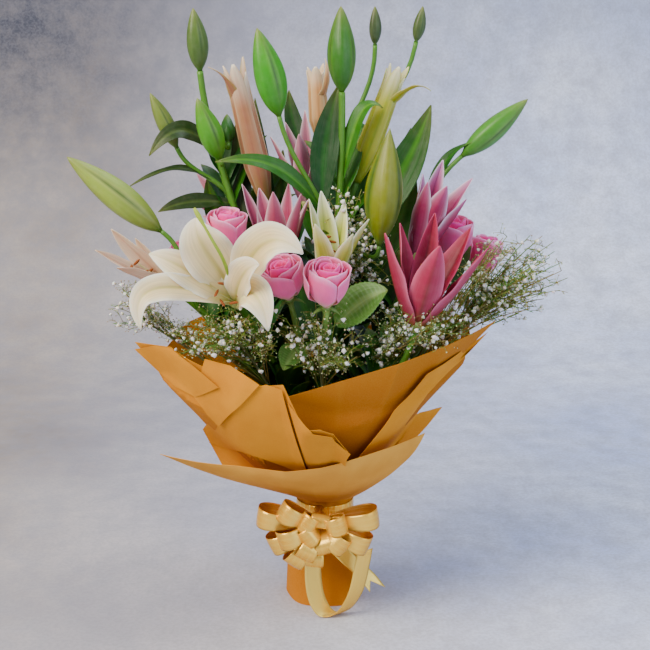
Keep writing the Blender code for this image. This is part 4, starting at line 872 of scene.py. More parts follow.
def stamen(base, axis, outward, length, lean):
    """A pale filament that bends outward, with a rust anther lying across its end."""
    line, way = bezier((base + axis * 8 * MM, base + axis * length * 0.4 + outward * lean * 0.2,
                        base + axis * length * 0.8 + outward * lean * 0.5,
                        base + axis * length + outward * lean), np.linspace(0, 1, 9))
    across = unit(np.cross(way[-1], outward) + 0.35 * outward)
    ends = line[-1] + across * np.linspace(-4.5, 4.5, 7)[:, None] * MM
    body = np.array([0.3, 1.1, 1.35, 1.3, 1.35, 1.1, 0.3]) * MM
    return [tube(line, 0.55 * MM, linear("#D5D79A"), sides=8),
            tube(ends, body, linear("#8A4A20"), sides=8, finish=1)]


def half_open(name, base, axis, half_width):
    """Six petals that rise from the foot, bulge and lean out to their tips. Every second one is
    inner, broader and nearer the axis, and all show the axis their upper side."""
    tips, bulge = TIPS[name]
    upper, under = PETAL_COLOURS[name][1:]
    parts = [flower_foot(base, axis)]

    def inward(middle):
        """From points of a petal to the axis, square to it."""
        off = base - middle
        return off - (off @ axis)[:, None] * axis

    for i, tip in enumerate(seen(tips)):
        inner = i % 2
        reach = tip - base
        rise = reach @ axis
        lean = reach - axis * rise
        outward = unit(lean)
        swell = bulge * MM * (0.76 if inner else 1)
        spine = (base + axis * rise * (0.09 if inner else 0.04) + outward * 2 * MM,
                 base + axis * rise * 0.24 + outward * swell,
                 base + axis * rise * 0.70 + outward * (swell * 0.6 + np.linalg.norm(lean) * 0.55),
                 tip)
        wide = half_width * MM * (0.98 if inner else 0.80)
        shade = 0.88 + 0.07 * (i % 3)
        parts.append(blade(spine, wide, inward, petal_paint, (*upper, shade), (*under, shade),
                           peak=0.46, root=0.16, cup=0.50, rows=30, columns=15,
                           thickness=0.8 * MM, wave=1.1 * MM, waves=2.5,
                           keel=(1.0 if inner else 2.0) * MM, start=i * 0.3))
        parts += stamen(base, axis, unit(outward + 0.5 * np.cross(axis, outward)),
                        rise * 0.58, 7 * MM)
    return parts


STYLE = [(-100, 326, -112), (-114, 352, -124), (-131, 382, -122)]       # the pistil's way


def white_open(name, base, axis):
    """The wide open lily: every petal goes its own way, and the pistil and stamens show."""
    upper, under = PETAL_COLOURS[name][1:]
    parts = [flower_foot(base, axis)]
    for i, (first, second, tip, half_width) in enumerate(WHITE_PETALS):
        spine = (base + axis * 7 * MM, *seen([first, second, tip]))
        parts.append(blade(spine, half_width * MM, (-0.1, -1, 0.45), petal_paint, upper, under,
                           peak=0.56, root=0.2, cup=0.16, rows=34, columns=17,
                           thickness=0.8 * MM, wave=1.8 * MM, waves=3.2, keel=1.3 * MM,
                           start=i * 0.37))
        turn = tau * i / len(WHITE_PETALS)
        outward = unit(np.array([cos(turn), -0.2, sin(turn)]))
        parts += stamen(base, axis, outward, 34 * MM, 11 * MM)
    pistil = smooth([base + axis * 8 * MM, *seen(STYLE)], 24)
    width = np.interp(np.linspace(0, 1, 24), (0, 0.8, 0.93, 1), (1.9, 1.3, 2.6, 1.2)) * MM
    tint = blend(np.linspace(0, 1, 24), (0, 1), ("#7CAC1C", "#AEC440"))
    return parts + [tube(pistil, width, tint, sides=10)]


def trumpet(name, base, tip, axis, width):
    """A lily about to open: three outer and three inner petals closed to a long tube. Each is a
    strip of the tube's skin, whose radius opens over the foot and narrows upward. It swells along
    its midrib, and in the top fifth it narrows to a point and leans out. One petal has curled
    away already."""
    length = np.linalg.norm(tip - base)
    upper, under = PETAL_COLOURS[name][1:]
    side = unit(np.cross(axis, (0.3, -1, 0.1)))
    ahead = np.cross(axis, side)
    u = np.linspace(0, 1, 36)[:, None]
    v = crowded(11)[None]
    shares = np.broadcast_arrays(u, v)
    parts = []
    for i in range(6):
        outer = i % 2 == 0
        height = u * (1.0 - 0.035 * (i % 3) - (0 if outer else 0.03))
        profile = np.minimum(1, 0.32 + 2.4 * height) * (1.1 - 0.34 * height)
        top = np.clip((u - 0.84) / 0.16, 0, 1)
        span = radians(43 if outer else 36) * (1 - 0.90 * top**1.8)
        reach = width / 2 * (profile * (1 if outer else 0.90) * (1 + 0.07 * (1 - np.abs(v)**1.5))
                             + 0.20 * top**1.6)
        turn = tau * (i + 0.25) / 6 + span * v
        points = (base + axis * (length * height + 0 * v)[..., None]
                  + side * (reach * np.cos(turn))[..., None]
                  + ahead * (reach * np.sin(turn))[..., None])
        # The grid runs upward and to the left, so its upper side is the tube's inner side.
        parts.append(slab(points, 0.7 * MM, petal_paint(*shares, *upper),
                          petal_paint(*shares, *under)))
    first, second, last = seen(CURLS[name])
    away = first - (second + last) / 2 + axis
    parts.append(blade((base + axis * length * 0.6, first, second, last), width * 0.2, away,
                       petal_paint, upper, under, peak=0.4, root=0.6, cup=0.2, rows=24,
                       wave=0.5 * MM, keel=0.5 * MM))
    return parts


for name, (head, base, tip, axis) in flower_feet.items():
    if head.kind == "trumpet":
        parts = trumpet(name, base, tip, axis, head.width * MM)
    elif head.kind == "white":
        parts = white_open(name, base, axis)
    else:
        parts = half_open(name, base, axis, head.width)
    build("bloom_" + name, name, PETAL_COLOURS[name][0] + "_petal", parts, petal_skin, pollen)


# --------------------------------------------------------------------------------------- roses
# Garden roses just opening: a tight spiral heart in rings of cupped petals whose lips roll out,
# on a thin green stem with a small calyx, five sepals and toothed leaflets.

# Rose petals are velvety: a dull skin with a soft sheen and light inside it.
rose_skin = plant("velvet rose petal", 13, 0.12, 0.10, veins=0.10, roughness=0.58,
                  subsurface_weight=0.24, subsurface_scale=0.005, sheen_weight=0.35)

# Each rose: where its head begins and ends, its radius, the broad leaflet on its stem, which has
# the point it is rooted near, its way, its length and how far off the stem it stands, and how far
# the stem swings round a neighbour above the tie. Sizes in mm.
Rose = namedtuple("Rose", "name base tip radius leaf swing", defaults=[None, (0, 0, 0)])
ROSES = [
    Rose("rose_left", (-99, 334, -22), (-97, 382, -31), 21.5),
    Rose("rose_middle", (-36, 292, -62), (-47, 330, -76), 25,
         ((-36, 226, -62), (-0.3, -0.62, -0.25), 40, 0), (11, 3, 0)),
    Rose("rose_front", (1, 284, -92), (4, 328, -108), 24,
         ((20, 238, -96), (0.80, -0.06, 0.58), 60, 15)),
    Rose("rose_hidden", (-130, 312, 14), (-145, 350, 11), 19,
         ((-96, 262, 12), (-0.55, 0.8, 0.1), 44, 0)),
    Rose("rose_right", (126, 328, 48), (132, 374, 38), 22,
         ((96, 262, 30), (0.5, 0.75, 0.35), 46, 0)),
    Rose("rose_far_right", (155, 314, 62), (164, 356, 67), 20,
         ((80, 228, 62), (0.35, 0.85, 0.4), 50, 0)),
]

ROSE_STEM = 3.0 * MM
HEART_COLOURS = ("#E0A060", "#FA0084", "#FF34B0")     # at its foot, half way up and at its lip
CUP_COLOURS = ("#DCC47A", "#FF54A0", "#FFA0D4")
HEART_TURNS, CUP_PETALS, GOLDEN_ANGLE = 2.3, 10, radians(137.5)
CUP_ROWS, CUP_COLUMNS, ROSE_SEED = 16, 15, 20


def to_axis(points, base, axis):
    """Points of a frame whose Z is the axis, brought to the base."""
    side = unit(np.cross((0.2, 1, 0.1), axis))
    return base + points @ np.stack([side, np.cross(axis, side), axis])


def rose_paint(u, v, foot, middle, lip, shade):
    """A rose petal's tint: yellow-green at its foot, deepest half way and palest on its lip."""
    tint = blend(u, (0, 0.30, 0.80, 1), (foot, middle, middle, lip))
    return toward(tint * shade, lip, np.abs(v)**4 * 0.5)


def rose_heart(radius, height):
    """The heart as one scroll: its radius grows with its turns and its lip rises and falls."""
    u, v = np.meshgrid(np.linspace(0, 1, 12), np.linspace(0, 1, 72), indexing="ij")
    turn = tau * HEART_TURNS * v
    reach = radius * (0.07 + 0.36 * v) * (0.45 + 0.55 * np.sin(pi / 2 * u)**0.6)
    reach += radius * 0.06 * np.clip(u * 4 - 3, 0, 1)
    lip = height * (0.97 - 0.07 * v + 0.025 * np.sin(turn * 1.6))
    return polar(reach, turn, lip * u), rose_paint(u, v * 0, *HEART_COLOURS, 0.95)


def rose_cup(radius, height, turn, half_angle, pitch, lip):
    """One petal as a piece of a barrel: its radius is a sine over its height, widest two thirds
    up, and grows by `pitch` from its left edge to its right. Its edge is rounded and its lip rolls
    out and down."""
    u = np.linspace(0, 1, CUP_ROWS)[:, None]
    v = crowded(CUP_COLUMNS)[None]
    angle = turn + half_angle * v * (0.45 + 0.55 * np.clip(u * 2, 0, 1))
    swell = 0.13 + 0.87 * np.sin(pi * 0.74 * u)**0.62
    roll = np.clip(u * 3.6 - 2.6, 0, 1)
    ripple = 0.03 * radius * np.sin(3.1 * v * pi + turn * 3) * u**3
    reach = radius * swell + pitch * v * np.clip(u * 2, 0, 1) + lip * roll**1.4 + ripple
    rise = 2 * MM + height * u * (1 - 0.16 * v**4 - 0.05 * v**2) - lip * 0.7 * roll**3
    return polar(reach, angle, rise)


def rose_head(spec, base, axis, draw):
    """The heart, and round it cupped petals a golden angle apart, each further out and lower. A
    short tube is the foot that holds them."""
    height = np.linalg.norm(seen(spec.tip) - base) * 0.94
    radius = spec.radius * MM
    points, tint = rose_heart(radius, height)
    parts = [slab(to_axis(points, base, axis), 0.5 * MM, tint)]
    u, v = grid(CUP_ROWS, CUP_COLUMNS)
    for i, share in enumerate(np.linspace(0, 1, CUP_PETALS)):
        lip = radius * (0.03 + 0.15 * share**1.5) * draw.uniform(0.5, 1.3)
        points = rose_cup(radius * (0.44 + 0.46 * share), height * (0.985 - 0.09 * share**2),
                          GOLDEN_ANGLE * i, radians(draw.uniform(62, 80)), radius * 0.06, lip)
        colours = CUP_COLOURS if share > 0.35 else HEART_COLOURS
        parts.append(slab(to_axis(points, base, axis), 0.6 * MM,
                          rose_paint(u, v, *colours, draw.uniform(0.92, 1.04)),
                          rose_paint(u, v, *CUP_COLOURS, 0.96)))
    foot = np.array([0, 1, 3, 6, 8]) * MM
    width = np.array([3.6, 3.9, 5.2, 7.4, 7.0]) * MM
    return parts + [tube(base + axis * foot[:, None], width, linear("#C9BE86"), sides=18)]


def rose_stem(spec, base, axis, draw):
    """The stem swells to a calyx, from which five narrow sepals fold back, and thorns stand out."""
    line, curve = stem_line(spec.name, base - axis * GAP, axis, neck_share=0.05,
                            swing=spec.swing)
    radii = np.interp(np.linspace(0, 1, len(line)), (0, 0.93, 0.97, 1),
                      np.array([ROSE_STEM, ROSE_STEM * 0.9, 4.2 * MM, 4.6 * MM]))
    green = blend(np.linspace(0, 1, len(line)), (0, 1), ("#3C5F26", "#6E9A3F"))
    parts = [tube(line, radii, green)]
    calyx = line[-1] - axis * 3 * MM
    side = unit(np.cross((0.2, 1, 0.1), axis))
    for k in range(5):
        turn = tau * k / 5
        outward = side * cos(turn) + np.cross(axis, side) * sin(turn)
        spine = (calyx, calyx + outward * 5 * MM + axis * 2 * MM,
                 calyx + outward * 10.5 * MM, calyx + outward * 14.5 * MM - axis * 5 * MM)
        parts.append(blade(spine, 2.3 * MM, axis, leaf_paint, ("#5C8A3A", "#86B45C"), peak=0.35,
                           root=0.8, cup=0.2, rows=12, columns=7, thickness=0.5 * MM))
    if spec.leaf:
        near, way, length, off = spec.leaf
        root, way = nearest([line], seen(near)), unit(np.array(way))
        if off:
            end = root + way * off * MM
            parts.append(tube([root, (root + end) / 2 + UP * MM, end], 0.9 * MM,
                              linear("#5C8A3A"), sides=8))
            root = end - way * 2 * MM
        parts.append(leaflet(root, way, length * MM))
    for _ in range(6):
        place, way = bezier(curve, [draw.uniform(0.1, 0.8)])
        turn = draw.uniform(0, tau)
        thorn = np.array([cos(turn), sin(turn), -0.5])
        ends = place + unit(thorn) * np.linspace(2.0, 5.5, 5)[:, None] * MM
        parts.append(tube(ends, np.array([1.4, 0.9, 0.55, 0.3, 0.08]) * MM, linear("#7C5A3A"),
                          sides=8))
    return parts


def leaflet(root, way, length):
    """A broad pointed leaflet with a toothed edge: its half width is a sine cut by a saw."""
    arch = UP * length * 0.12
    spine = [root, root + way * length * 0.3 + arch, root + way * length * 0.7 + arch,
             root + way * length]
    u = np.linspace(0, 1, 61)
    v = crowded(11)
    middle, along = bezier(spine, u)
    side = unit(np.cross(along, np.broadcast_to((0, -0.6, 0.8), middle.shape)))
    upper = np.cross(side, along)
    width = length * 0.34 * np.maximum(np.sin(pi * u**0.9)**0.8 + 0.12 * (1 - u)**2, 0.03)
    tooth = 1 - 0.09 * ((u * 15) % 1)
    spread = width[:, None] * v * np.where(np.abs(v) > 0.9, tooth[:, None], 1)
    ribs = np.cos(tau * (u[:, None] * 7 - np.abs(v) * 1.6)) * 0.25 * MM * (1 - v**4)
    rise = 0.14 * np.abs(v)**1.5 * width[:, None] + ribs - 0.8 * MM * np.exp(-(v / 0.12)**2)
    points = middle[:, None] + side[:, None] * spread[..., None] + upper[:, None] * rise[..., None]
    u, v = np.broadcast_arrays(u[:, None], v[None])
    tint = leaf_paint(u, v, "#548C2E", "#9CC06A")
    tint = toward(tint, "#7FAE6B", np.cos(tau * (u * 7 - np.abs(v) * 1.6))**8 * 0.5)
    return slab(points, 0.5 * MM, tint, leaf_paint(u, v, "#6C9A68", "#93BA85"), finish=1)


for number, spec in enumerate(ROSES):
    draw = np.random.default_rng(ROSE_SEED + number)
    base = seen(spec.base)
    axis = unit(seen(spec.tip) - base)
    build("head_" + spec.name, spec.name, "rose_petal", rose_head(spec, base, axis, draw),
          rose_skin)
    build("green_" + spec.name, spec.name + "_stem", "rose_green",
          rose_stem(spec, base, axis, draw), green_skin, leaf_skin)


# --------------------------------------------------------------------------------- gypsophila
# Sprays of baby's breath: wiry brown-green stems that fork again and again, and at each end a
# double white floret 4 to 6 mm across or a closed green bud. Slipped into the bouquet last.

# Thin dry bark for the twigs and crumpled white tissue for the florets.
twig_skin = plant("gypsophila twig", 5, 0.10, 0.2, veins=0.25, roughness=0.62)
floret_skin = plant("gypsophila floret", 9, 0.10, 0.15, veins=0.08, roughness=0.60,
                    subsurface_weight=0.25, subsurface_scale=0.002)

# Each spray: three points its stem passes above the tie, in mm, the middle of its cloud as the
# picture shows it, the cloud's half sizes, how many branches it has, and its colours.
Spray = namedtuple("Spray", "name line centre reach branches white green dry")
SPRAYS = [
    Spray("gypsophila_right", [(51.6, 5.4, 189.0), (107.5, 7.1, 258.4), (162.4, 8.8, 308.9)],
          (194, 314, 10), (58, 52, 44), 70, 0.16, 0.66, 0.18),
    Spray("gypsophila_left", [(-55.0, -1.8, 188.9), (-121.2, -7.8, 255.1), (-178.3, -13.0, 297.7)],
          (-194, 282, -14), (32, 27, 28), 20, 0.20, 0.25, 0.55),
    Spray("gypsophila_front_left",
          [(-32.6, -27.2, 186.6), (-63.5, -57.3, 258.8), (-86.0, -79.8, 300.8)],
          (-104, 254, -84), (64, 32, 26), 38, 0.12, 0.66, 0.22),
    Spray("gypsophila_front", [(1.2, -32.2, 178.2), (-2.5, -63.6, 244.0), (-5.5, -88.1, 284.2)],
          (-4, 250, -84), (54, 42, 30), 24, 0.15, 0.70, 0.15),
    Spray("gypsophila_front_right",
          [(30.1, -21.8, 181.3), (53.9, -45.1, 250.0), (72.4, -63.4, 292.2)],
          (96, 262, -74), (64, 34, 30), 40, 0.20, 0.66, 0.14),
    Spray("gypsophila_centre", [(9.5, -1.5, 206.6), (7.1, -2.4, 302.5), (4.6, -3.6, 384.5)],
          (38, 344, -20), (48, 74, 24), 36, 0.34, 0.56, 0.10),
    Spray("gypsophila_back", [(10.3, 34.6, 183.7), (9.5, 69.3, 253.9), (8.7, 102.9, 304.9)],
          (14, 326, 104), (96, 46, 30), 34, 0.52, 0.34, 0.14),
]
SPRAY_STEM, PAPER_ROOM, SPRAY_SEED = 1.8 * MM, 3.5 * MM, 40
FLORET_COLOURS = {"white": ("#B9C48A", "#F6F4EC", "#FFFFFF"),
                  "green": ("#5C8A1C", "#9CB850", "#E0E8B8"),
                  "dry": ("#6A5A38", "#9A8360", "#C9B795")}
TWIG_COLOURS = ("#7C8E1A", "#4E8614", "#8C7A30")
THICKER = {"gypsophila_right": 1.4}      # how much thicker a spray's twigs are


def strokes(starts, bends, ends, thick, tint, steps):
    """Many three-sided twigs at once. Each follows the quadratic curve from its start by its bend
    to its end and thins to half there."""
    t = np.linspace(0, 1, steps + 1)[:, None]
    lines = arc(starts[:, None], bends[:, None], ends[:, None], t)
    way = unit(np.gradient(lines, axis=1))
    side = unit(np.cross(way, (0.31, 0.87, 0.37)))
    up = np.cross(way, side)
    turn = tau * np.arange(3) / 3
    reach = (thick[:, None] * np.linspace(1, 0.5, steps + 1))[..., None, None]
    rings = lines[:, :, None] + reach * (side[:, :, None] * np.cos(turn)[:, None]
                                         + up[:, :, None] * np.sin(turn)[:, None])
    index = np.arange(len(lines) * (steps + 1) * 3).reshape(-1, steps + 1, 3)
    loop = np.concatenate([index, index[..., :1]], 2)
    faces = np.concatenate([quads(one) for one in loop])
    caps = np.concatenate([index[:, 0, ::-1], index[:, -1]])
    share = np.broadcast_to(np.linspace(0, 1, steps + 1)[None, :, None], rings.shape[:3])
    form = np.stack([share, share * 0, share * 0 + 1], -1).reshape(-1, 3)
    tint = np.broadcast_to(tint[:, None, None], rings.shape).reshape(-1, 3)
    return Part(rings.reshape(-1, 3), faces, form, tint, 0, caps)


def floret_shape():
    """A ruffled ball of 36 faces: three rings of six points, every second one drawn in, between a
    pointed foot and a sunk crown."""
    turn = tau * np.arange(6) / 6
    rings = []
    for height, radius, notch, twist in ((-0.42, 0.50, 0.9, 0), (0.10, 1.0, 0.66, 0.2),
                                         (0.52, 0.62, 0.5, 0.7)):
        rings.append(polar(radius * np.where(np.arange(6) % 2, notch, 1), turn + twist, height))
    colours = np.repeat((0.25, 0.75, 1.0), 6)
    index = np.arange(18).reshape(3, 6)
    body = quads(np.concatenate([index, index[:, :1]], 1))
    foot = [(18, (k + 1) % 6, k) for k in range(6)]
    crown = [(19, 12 + k, 12 + (k + 1) % 6) for k in range(6)]
    points = np.concatenate(rings + [np.array([[0, 0, -1.0], [0, 0, 0.34]])])
    return points, body, np.array(foot + crown), np.concatenate([colours, (0, 0.8)])


def florets(places, ways, sizes, tints):
    """Copies of the floret: each is scaled, turned to its way and given its three colours."""
    points, body, fans, level = floret_shape()
    side = unit(np.cross(ways, (0.53, 0.21, 0.82)))
    frames = np.stack([side, np.cross(ways, side), ways], 1)
    solid = places[:, None] + np.einsum("pk,nkc->npc", points, frames) * sizes[:, None, None]
    start = (np.arange(len(places)) * len(points))[:, None, None]
    low = np.clip(level * 2, 0, 1)[None, :, None]
    high = np.clip(level * 2 - 1, 0, 1)[None, :, None]
    tint = tints[:, 0:1] * (1 - low) + tints[:, 1:2] * (low - high) + tints[:, 2:3] * high
    form = np.tile(np.stack([level, level * 0, level * 0 + 1], -1), (len(places), 1))
    return Part(solid.reshape(-1, 3), (body + start).reshape(-1, 4), form, tint.reshape(-1, 3), 1,
                (fans + start).reshape(-1, 3))


def scattered(draw, count, low=0.0):
    """Random points of the unit ball, none nearer to its middle than `low`."""
    way = unit(draw.normal(size=(count, 3)))
    return way * (low**3 + (1 - low**3) * draw.random((count, 1)))**(1 / 3)


def forked(draw, roots, centres, spread, low, bend, floor_share=-0.35):
    """Twig lines from the roots to random points near their centres, bent upward on their way."""
    offset = scattered(draw, len(roots), low)
    offset[:, 2] = np.maximum(offset[:, 2], floor_share)
    ends = centres + offset * spread
    reach = np.linalg.norm(ends - roots, axis=1, keepdims=True)
    return (roots + ends) / 2 + UP * reach * bend, ends


def spray(spec, draw):
    """A stem whose crown forks into branches, these into branchlets and these into threads with a
    floret or bud at each end. Whatever would leave through the paper is left out."""
    slot = slot_of(spec.name)
    line = smooth([slot * STEM_SPREAD, slot + UP * TIE_HEIGHT,
                   *(np.array(point) * MM for point in spec.line)], 40)
    parts = [tube(line, np.linspace(SPRAY_STEM, SPRAY_STEM * 0.7, 40),
                  blend(np.linspace(0, 1, 40), (0, 1), ("#4C5F2E", "#6F7A45")), sides=8)]
    centre = seen(spec.centre)
    reach = np.array([spec.reach[0], spec.reach[2], spec.reach[1]]) * MM
    roots = line[draw.integers(25, 40, spec.branches)]
    levels = []
    bends, ends = forked(draw, roots, np.tile(centre, (spec.branches, 1)), reach * 0.90, 0.30,
                         0.10, -0.8)
    levels.append((roots, bends, ends, 0.62))
    for forks, low_share, spread, thick in ((6, 0.30, 19, 0.36), (4, 0.40, 9.5, 0.24)):
        starts, middles, tips, _ = levels[-1]
        pick = np.repeat(np.arange(len(starts)), forks)
        t = draw.uniform(low_share, 1, len(pick))[:, None]
        roots = arc(starts[pick], middles[pick], tips[pick], t)
        bends, ends = forked(draw, roots, roots, spread * MM, 0.6, 0.12, -0.2)
        levels.append((roots, bends, ends, thick))
    hue = np.array([linear(code) for code in TWIG_COLOURS])
    for starts, middles, tips, thick in levels:
        keep = np.array([within_wrap(tip, PAPER_ROOM) for tip in tips])
        tint = hue[draw.integers(len(hue), size=len(tips))] * draw.uniform(0.8, 1.2,
                                                                           (len(tips), 1))
        steps = 3 if thick < 0.3 else 5
        thick = thick * THICKER.get(spec.name, 1)
        parts.append(strokes(starts[keep], middles[keep], tips[keep],
                             np.full(keep.sum(), thick * MM), tint[keep], steps))
    starts, middles, tips, _ = levels[-1]
    tips, middles = tips[keep], middles[keep]
    kinds = draw.choice(3, len(tips), p=(spec.white, spec.green, spec.dry))
    tints = np.array([[linear(code) for code in FLORET_COLOURS[kind]]
                      for kind in ("white", "green", "dry")])[kinds]
    sizes = np.choose(kinds, (3.1, 1.1, 1.0)) * MM * draw.uniform(0.6, 1.1, len(tips))
    ways = unit(unit(tips - middles) + 0.5 * scattered(draw, len(tips)))
    parts.append(florets(tips, ways, sizes, tints * draw.uniform(0.85, 1.0, (len(tips), 1, 1))))
    return parts


for number, spec in enumerate(SPRAYS):
    parts = spray(spec, np.random.default_rng(SPRAY_SEED + number))
    build("cloud_" + spec.name, spec.name, "gypsophila", parts, twig_skin, floret_skin)


# -------------------------------------------------------------------------------------- string
# Jute twine, laid of three strands, drawn tight round the bundle and glued end to end under the
# paper. Hairy and dull.

twine, tree, shader = material("jute twine", roughness=0.95, sheen_weight=0.3)
tint = add(tree, "Attribute", attribute_name="tint")
fibre = add(tree, "TexNoise", {"Vector": add(tree, "TexCoord").outputs["Object"],
                               "Scale": 1900, "Detail": 4})
dyed = add(tree, "Mix", {0: add(tree, "MapRange", (fibre, 0.35, 0.65, 0, 0.5)),
                         6: tint, 7: "#4E3A1E"}, data_type="RGBA")
relief = add(tree, "Bump", {"Height": fibre, "Strength": 0.6, "Distance": 0.0003})
feed(shader, {"Base Color": dyed, "Normal": relief})

STRING, TIE_RADIUS, LAYS = 1.6 * MM, 25.48 * MM, 34
ROPE_STEPS, ROPE_SIDES = 361, 12
turn = np.linspace(0, tau, ROPE_STEPS, endpoint=False)[:, None]
around = np.linspace(0, tau, ROPE_SIDES, endpoint=False)[None]
strands = np.cos(3 * (around - LAYS * turn / 3))
thick = STRING * (0.86 + 0.14 * strands)
rope = polar(TIE_RADIUS + thick * np.cos(around), turn, TIE_HEIGHT - thick * np.sin(around))
index = np.arange(ROPE_STEPS * ROPE_SIDES).reshape(ROPE_STEPS, ROPE_SIDES)
index = np.pad(index, ((0, 1), (0, 1)), "wrap")
# Painted shade: the twine is darker in the grooves between its strands.
hue = (linear("#9A7A48") * (0.75 + 0.25 * strands)[..., None]).reshape(-1, 3)
rope = rope.reshape(-1, 3)
build("twine_ring", "string_tie", "string", [Part(rope, quads(index), rope * 0, hue)], twine)


# ----------------------------------------------------------------------------------- the paper
# Mustard wrapping paper of about 80 g, matt and a little fibrous: an inner sheet gathered into a
# sleeve round the stems and a bowl above, and four outer sheets folded in sharp pleats over it.

# Uncoated dyed paper: no shine, cloudy like felt from its fibres, and a soft crumple a few
# centimetres wide that shows only in raking light.
paper, tree, shader = material("matt mustard paper", roughness=0.85, specular_ior_level=0.15)
paint = add(tree, "Attribute", attribute_name="tint")
where = add(tree, "TexCoord").outputs["Object"]
felt = add(tree, "TexNoise", {"Vector": where, "Scale": 900, "Detail": 5, "Roughness": 0.7})
cloud = add(tree, "TexNoise", {"Vector": where, "Scale": 26, "Detail": 3})
crumple = add(tree, "TexNoise", {"Vector": where, "Scale": 55, "Detail": 2, "Roughness": 0.4,
                                 "Distortion": 0.6})
for share, colour in ((add(tree, "MapRange", (cloud, 0.35, 0.68, 0, 0.30)), "#A85A00"),
                      (add(tree, "MapRange", (felt, 0.35, 0.66, 0, 0.10)), "#EDBE62")):
    paint = add(tree, "Mix", {0: share, 6: paint, 7: colour}, data_type="RGBA")
height = add(tree, "Math", (crumple, felt), operation="ADD")
relief = add(tree, "Bump", {"Height": height, "Strength": 0.16, "Distance": 0.002})
feed(shader, {"Base Color": paint, "Normal": relief})

PAPER = 0.45 * MM
# The paper's colour, a lit copy of it for painted light and a shaded copy for painted shade.
PAPER_COLOUR, PAPER_LIT, PAPER_SHADE = "#C97A00", "#DE9A22", "#8E4C00"
PAPER_PALE = "#DFA342"
CREASE_ANGLE = radians(24)

# The inner sheet: fine pleats are drawn together under the ribbon and die out above and below.
u, v = grid(50, 208, closed=True)
points = inner_sheet(u, v)
angle, height = pi * v, points[..., 2]
gather = np.exp(-((height - TIE_HEIGHT) / (46 * MM))**2)
tight = np.exp(-((height - TIE_HEIGHT) / (14 * MM))**2)
pleat = (np.abs(np.sin(13 * angle + 2 * np.sin(3 * angle))) - 0.5) * 1.8 * MM * gather
pleat = pleat * (1 - 0.75 * tight)
sag = 1.3 * MM * np.sin(5 * angle + 9 * u) * np.clip(1 - height / (90 * MM), 0, 1)
rim = 1.6 * MM * np.sin(17 * angle) * np.clip(u * 6 - 5, 0, 1)
points = points + polar(1, angle, 0) * (pleat + sag + rim)[..., None]
points[0, :, 2] = 0.2 * MM
# Painted shade: darker in the valleys of the gathered pleats and towards the foot.
tint = toward(linear(PAPER_COLOUR), PAPER_SHADE,
              0.35 * gather * (0.5 - 0.5 * np.sin(13 * angle)))
tint = toward(tint, PAPER_SHADE, 0.15 * np.clip(1 - height / WAIST_TOP, 0, 1)**0.5)
inner = build("paper_inner", "wrap_inner", "paper", [slab(points, PAPER, tint, wrap=True)], paper)
inner.data.set_sharp_from_angle(angle=CREASE_ANGLE)

# The outer sheets lie on the inner one in layers. Each is given by how far off it lies at the
# waist, in mm, and by its crease lines from left to right, with a low, a high and a rim point as
# `seen` takes them. Below these a line runs in to the waist.
OUTER_SHEETS = {
    "wrap_left": (6.0, [
        ((-100, 134, -16), (-140, 190, -30), (-190, 248, -34)),
        ((-96, 130, -44), (-130, 186, -72), (-154, 243, -74)),
        ((-84, 124, -62), (-118, 176, -88), (-136, 230, -90)),
        ((-62, 118, -78), (-110, 160, -104), (-80, 203, -118)),
        ((-20, 118, -84), (-40, 160, -124), (-42, 205, -128)),
        ((-12, 120, -80), (-24, 142, -120), (-20, 160, -134)),
        ((2, 122, -80), (0, 146, -118), (-5, 160, -134)),
        ((12, 124, -76), (18, 138, -104), (8, 156, -126)),
        ((20, 126, -72), (22, 134, -98), (23, 138, -118)),
    ]),
    "wrap_right": (2.7, [
        ((-26, 124, -48), (-38, 158, -84), (-48, 190, -96)),
        ((2, 124, -50), (14, 158, -86), (16, 209, -102)),
        ((24, 124, -50), (56, 168, -84), (74, 226, -104)),
        ((44, 128, -44), (80, 180, -66), (128, 247, -72)),
        ((56, 132, -30), (92, 196, -42), (171, 269, -26)),
        ((66, 134, -10), (88, 190, -16), (120, 232, -18)),
    ]),
    "wrap_collar": (8.4, [
        ((-88, 106, -34), (-118, 116, -40), (-165, 136, -44)),
        ((-74, 104, -52), (-100, 112, -62), (-128, 128, -66)),
        ((-56, 102, -66), (-76, 108, -78), (-88, 124, -84)),
        ((-40, 100, -74), (-50, 106, -88), (-40, 118, -98)),
        ((-12, 98, -80), (-14, 102, -94), (-4, 122, -102)),
        ((14, 98, -78), (24, 106, -92), (26, 130, -98)),
        ((44, 104, -62), (62, 118, -74), (64, 142, -78)),
        ((62, 110, -44), (92, 134, -50), (100, 157, -50)),
    ]),
    "wrap_corner": (4.5, [
        ((56, 124, -30), (84, 156, -26), (88, 176, -26)),
        ((62, 126, -16), (98, 156, -12), (117, 183, -14)),
        ((60, 128, 2), (92, 152, 6), (98, 162, 2)),
    ]),
}
SLACK = 0.05          # how much further off a sheet lies for each length the bowl has opened


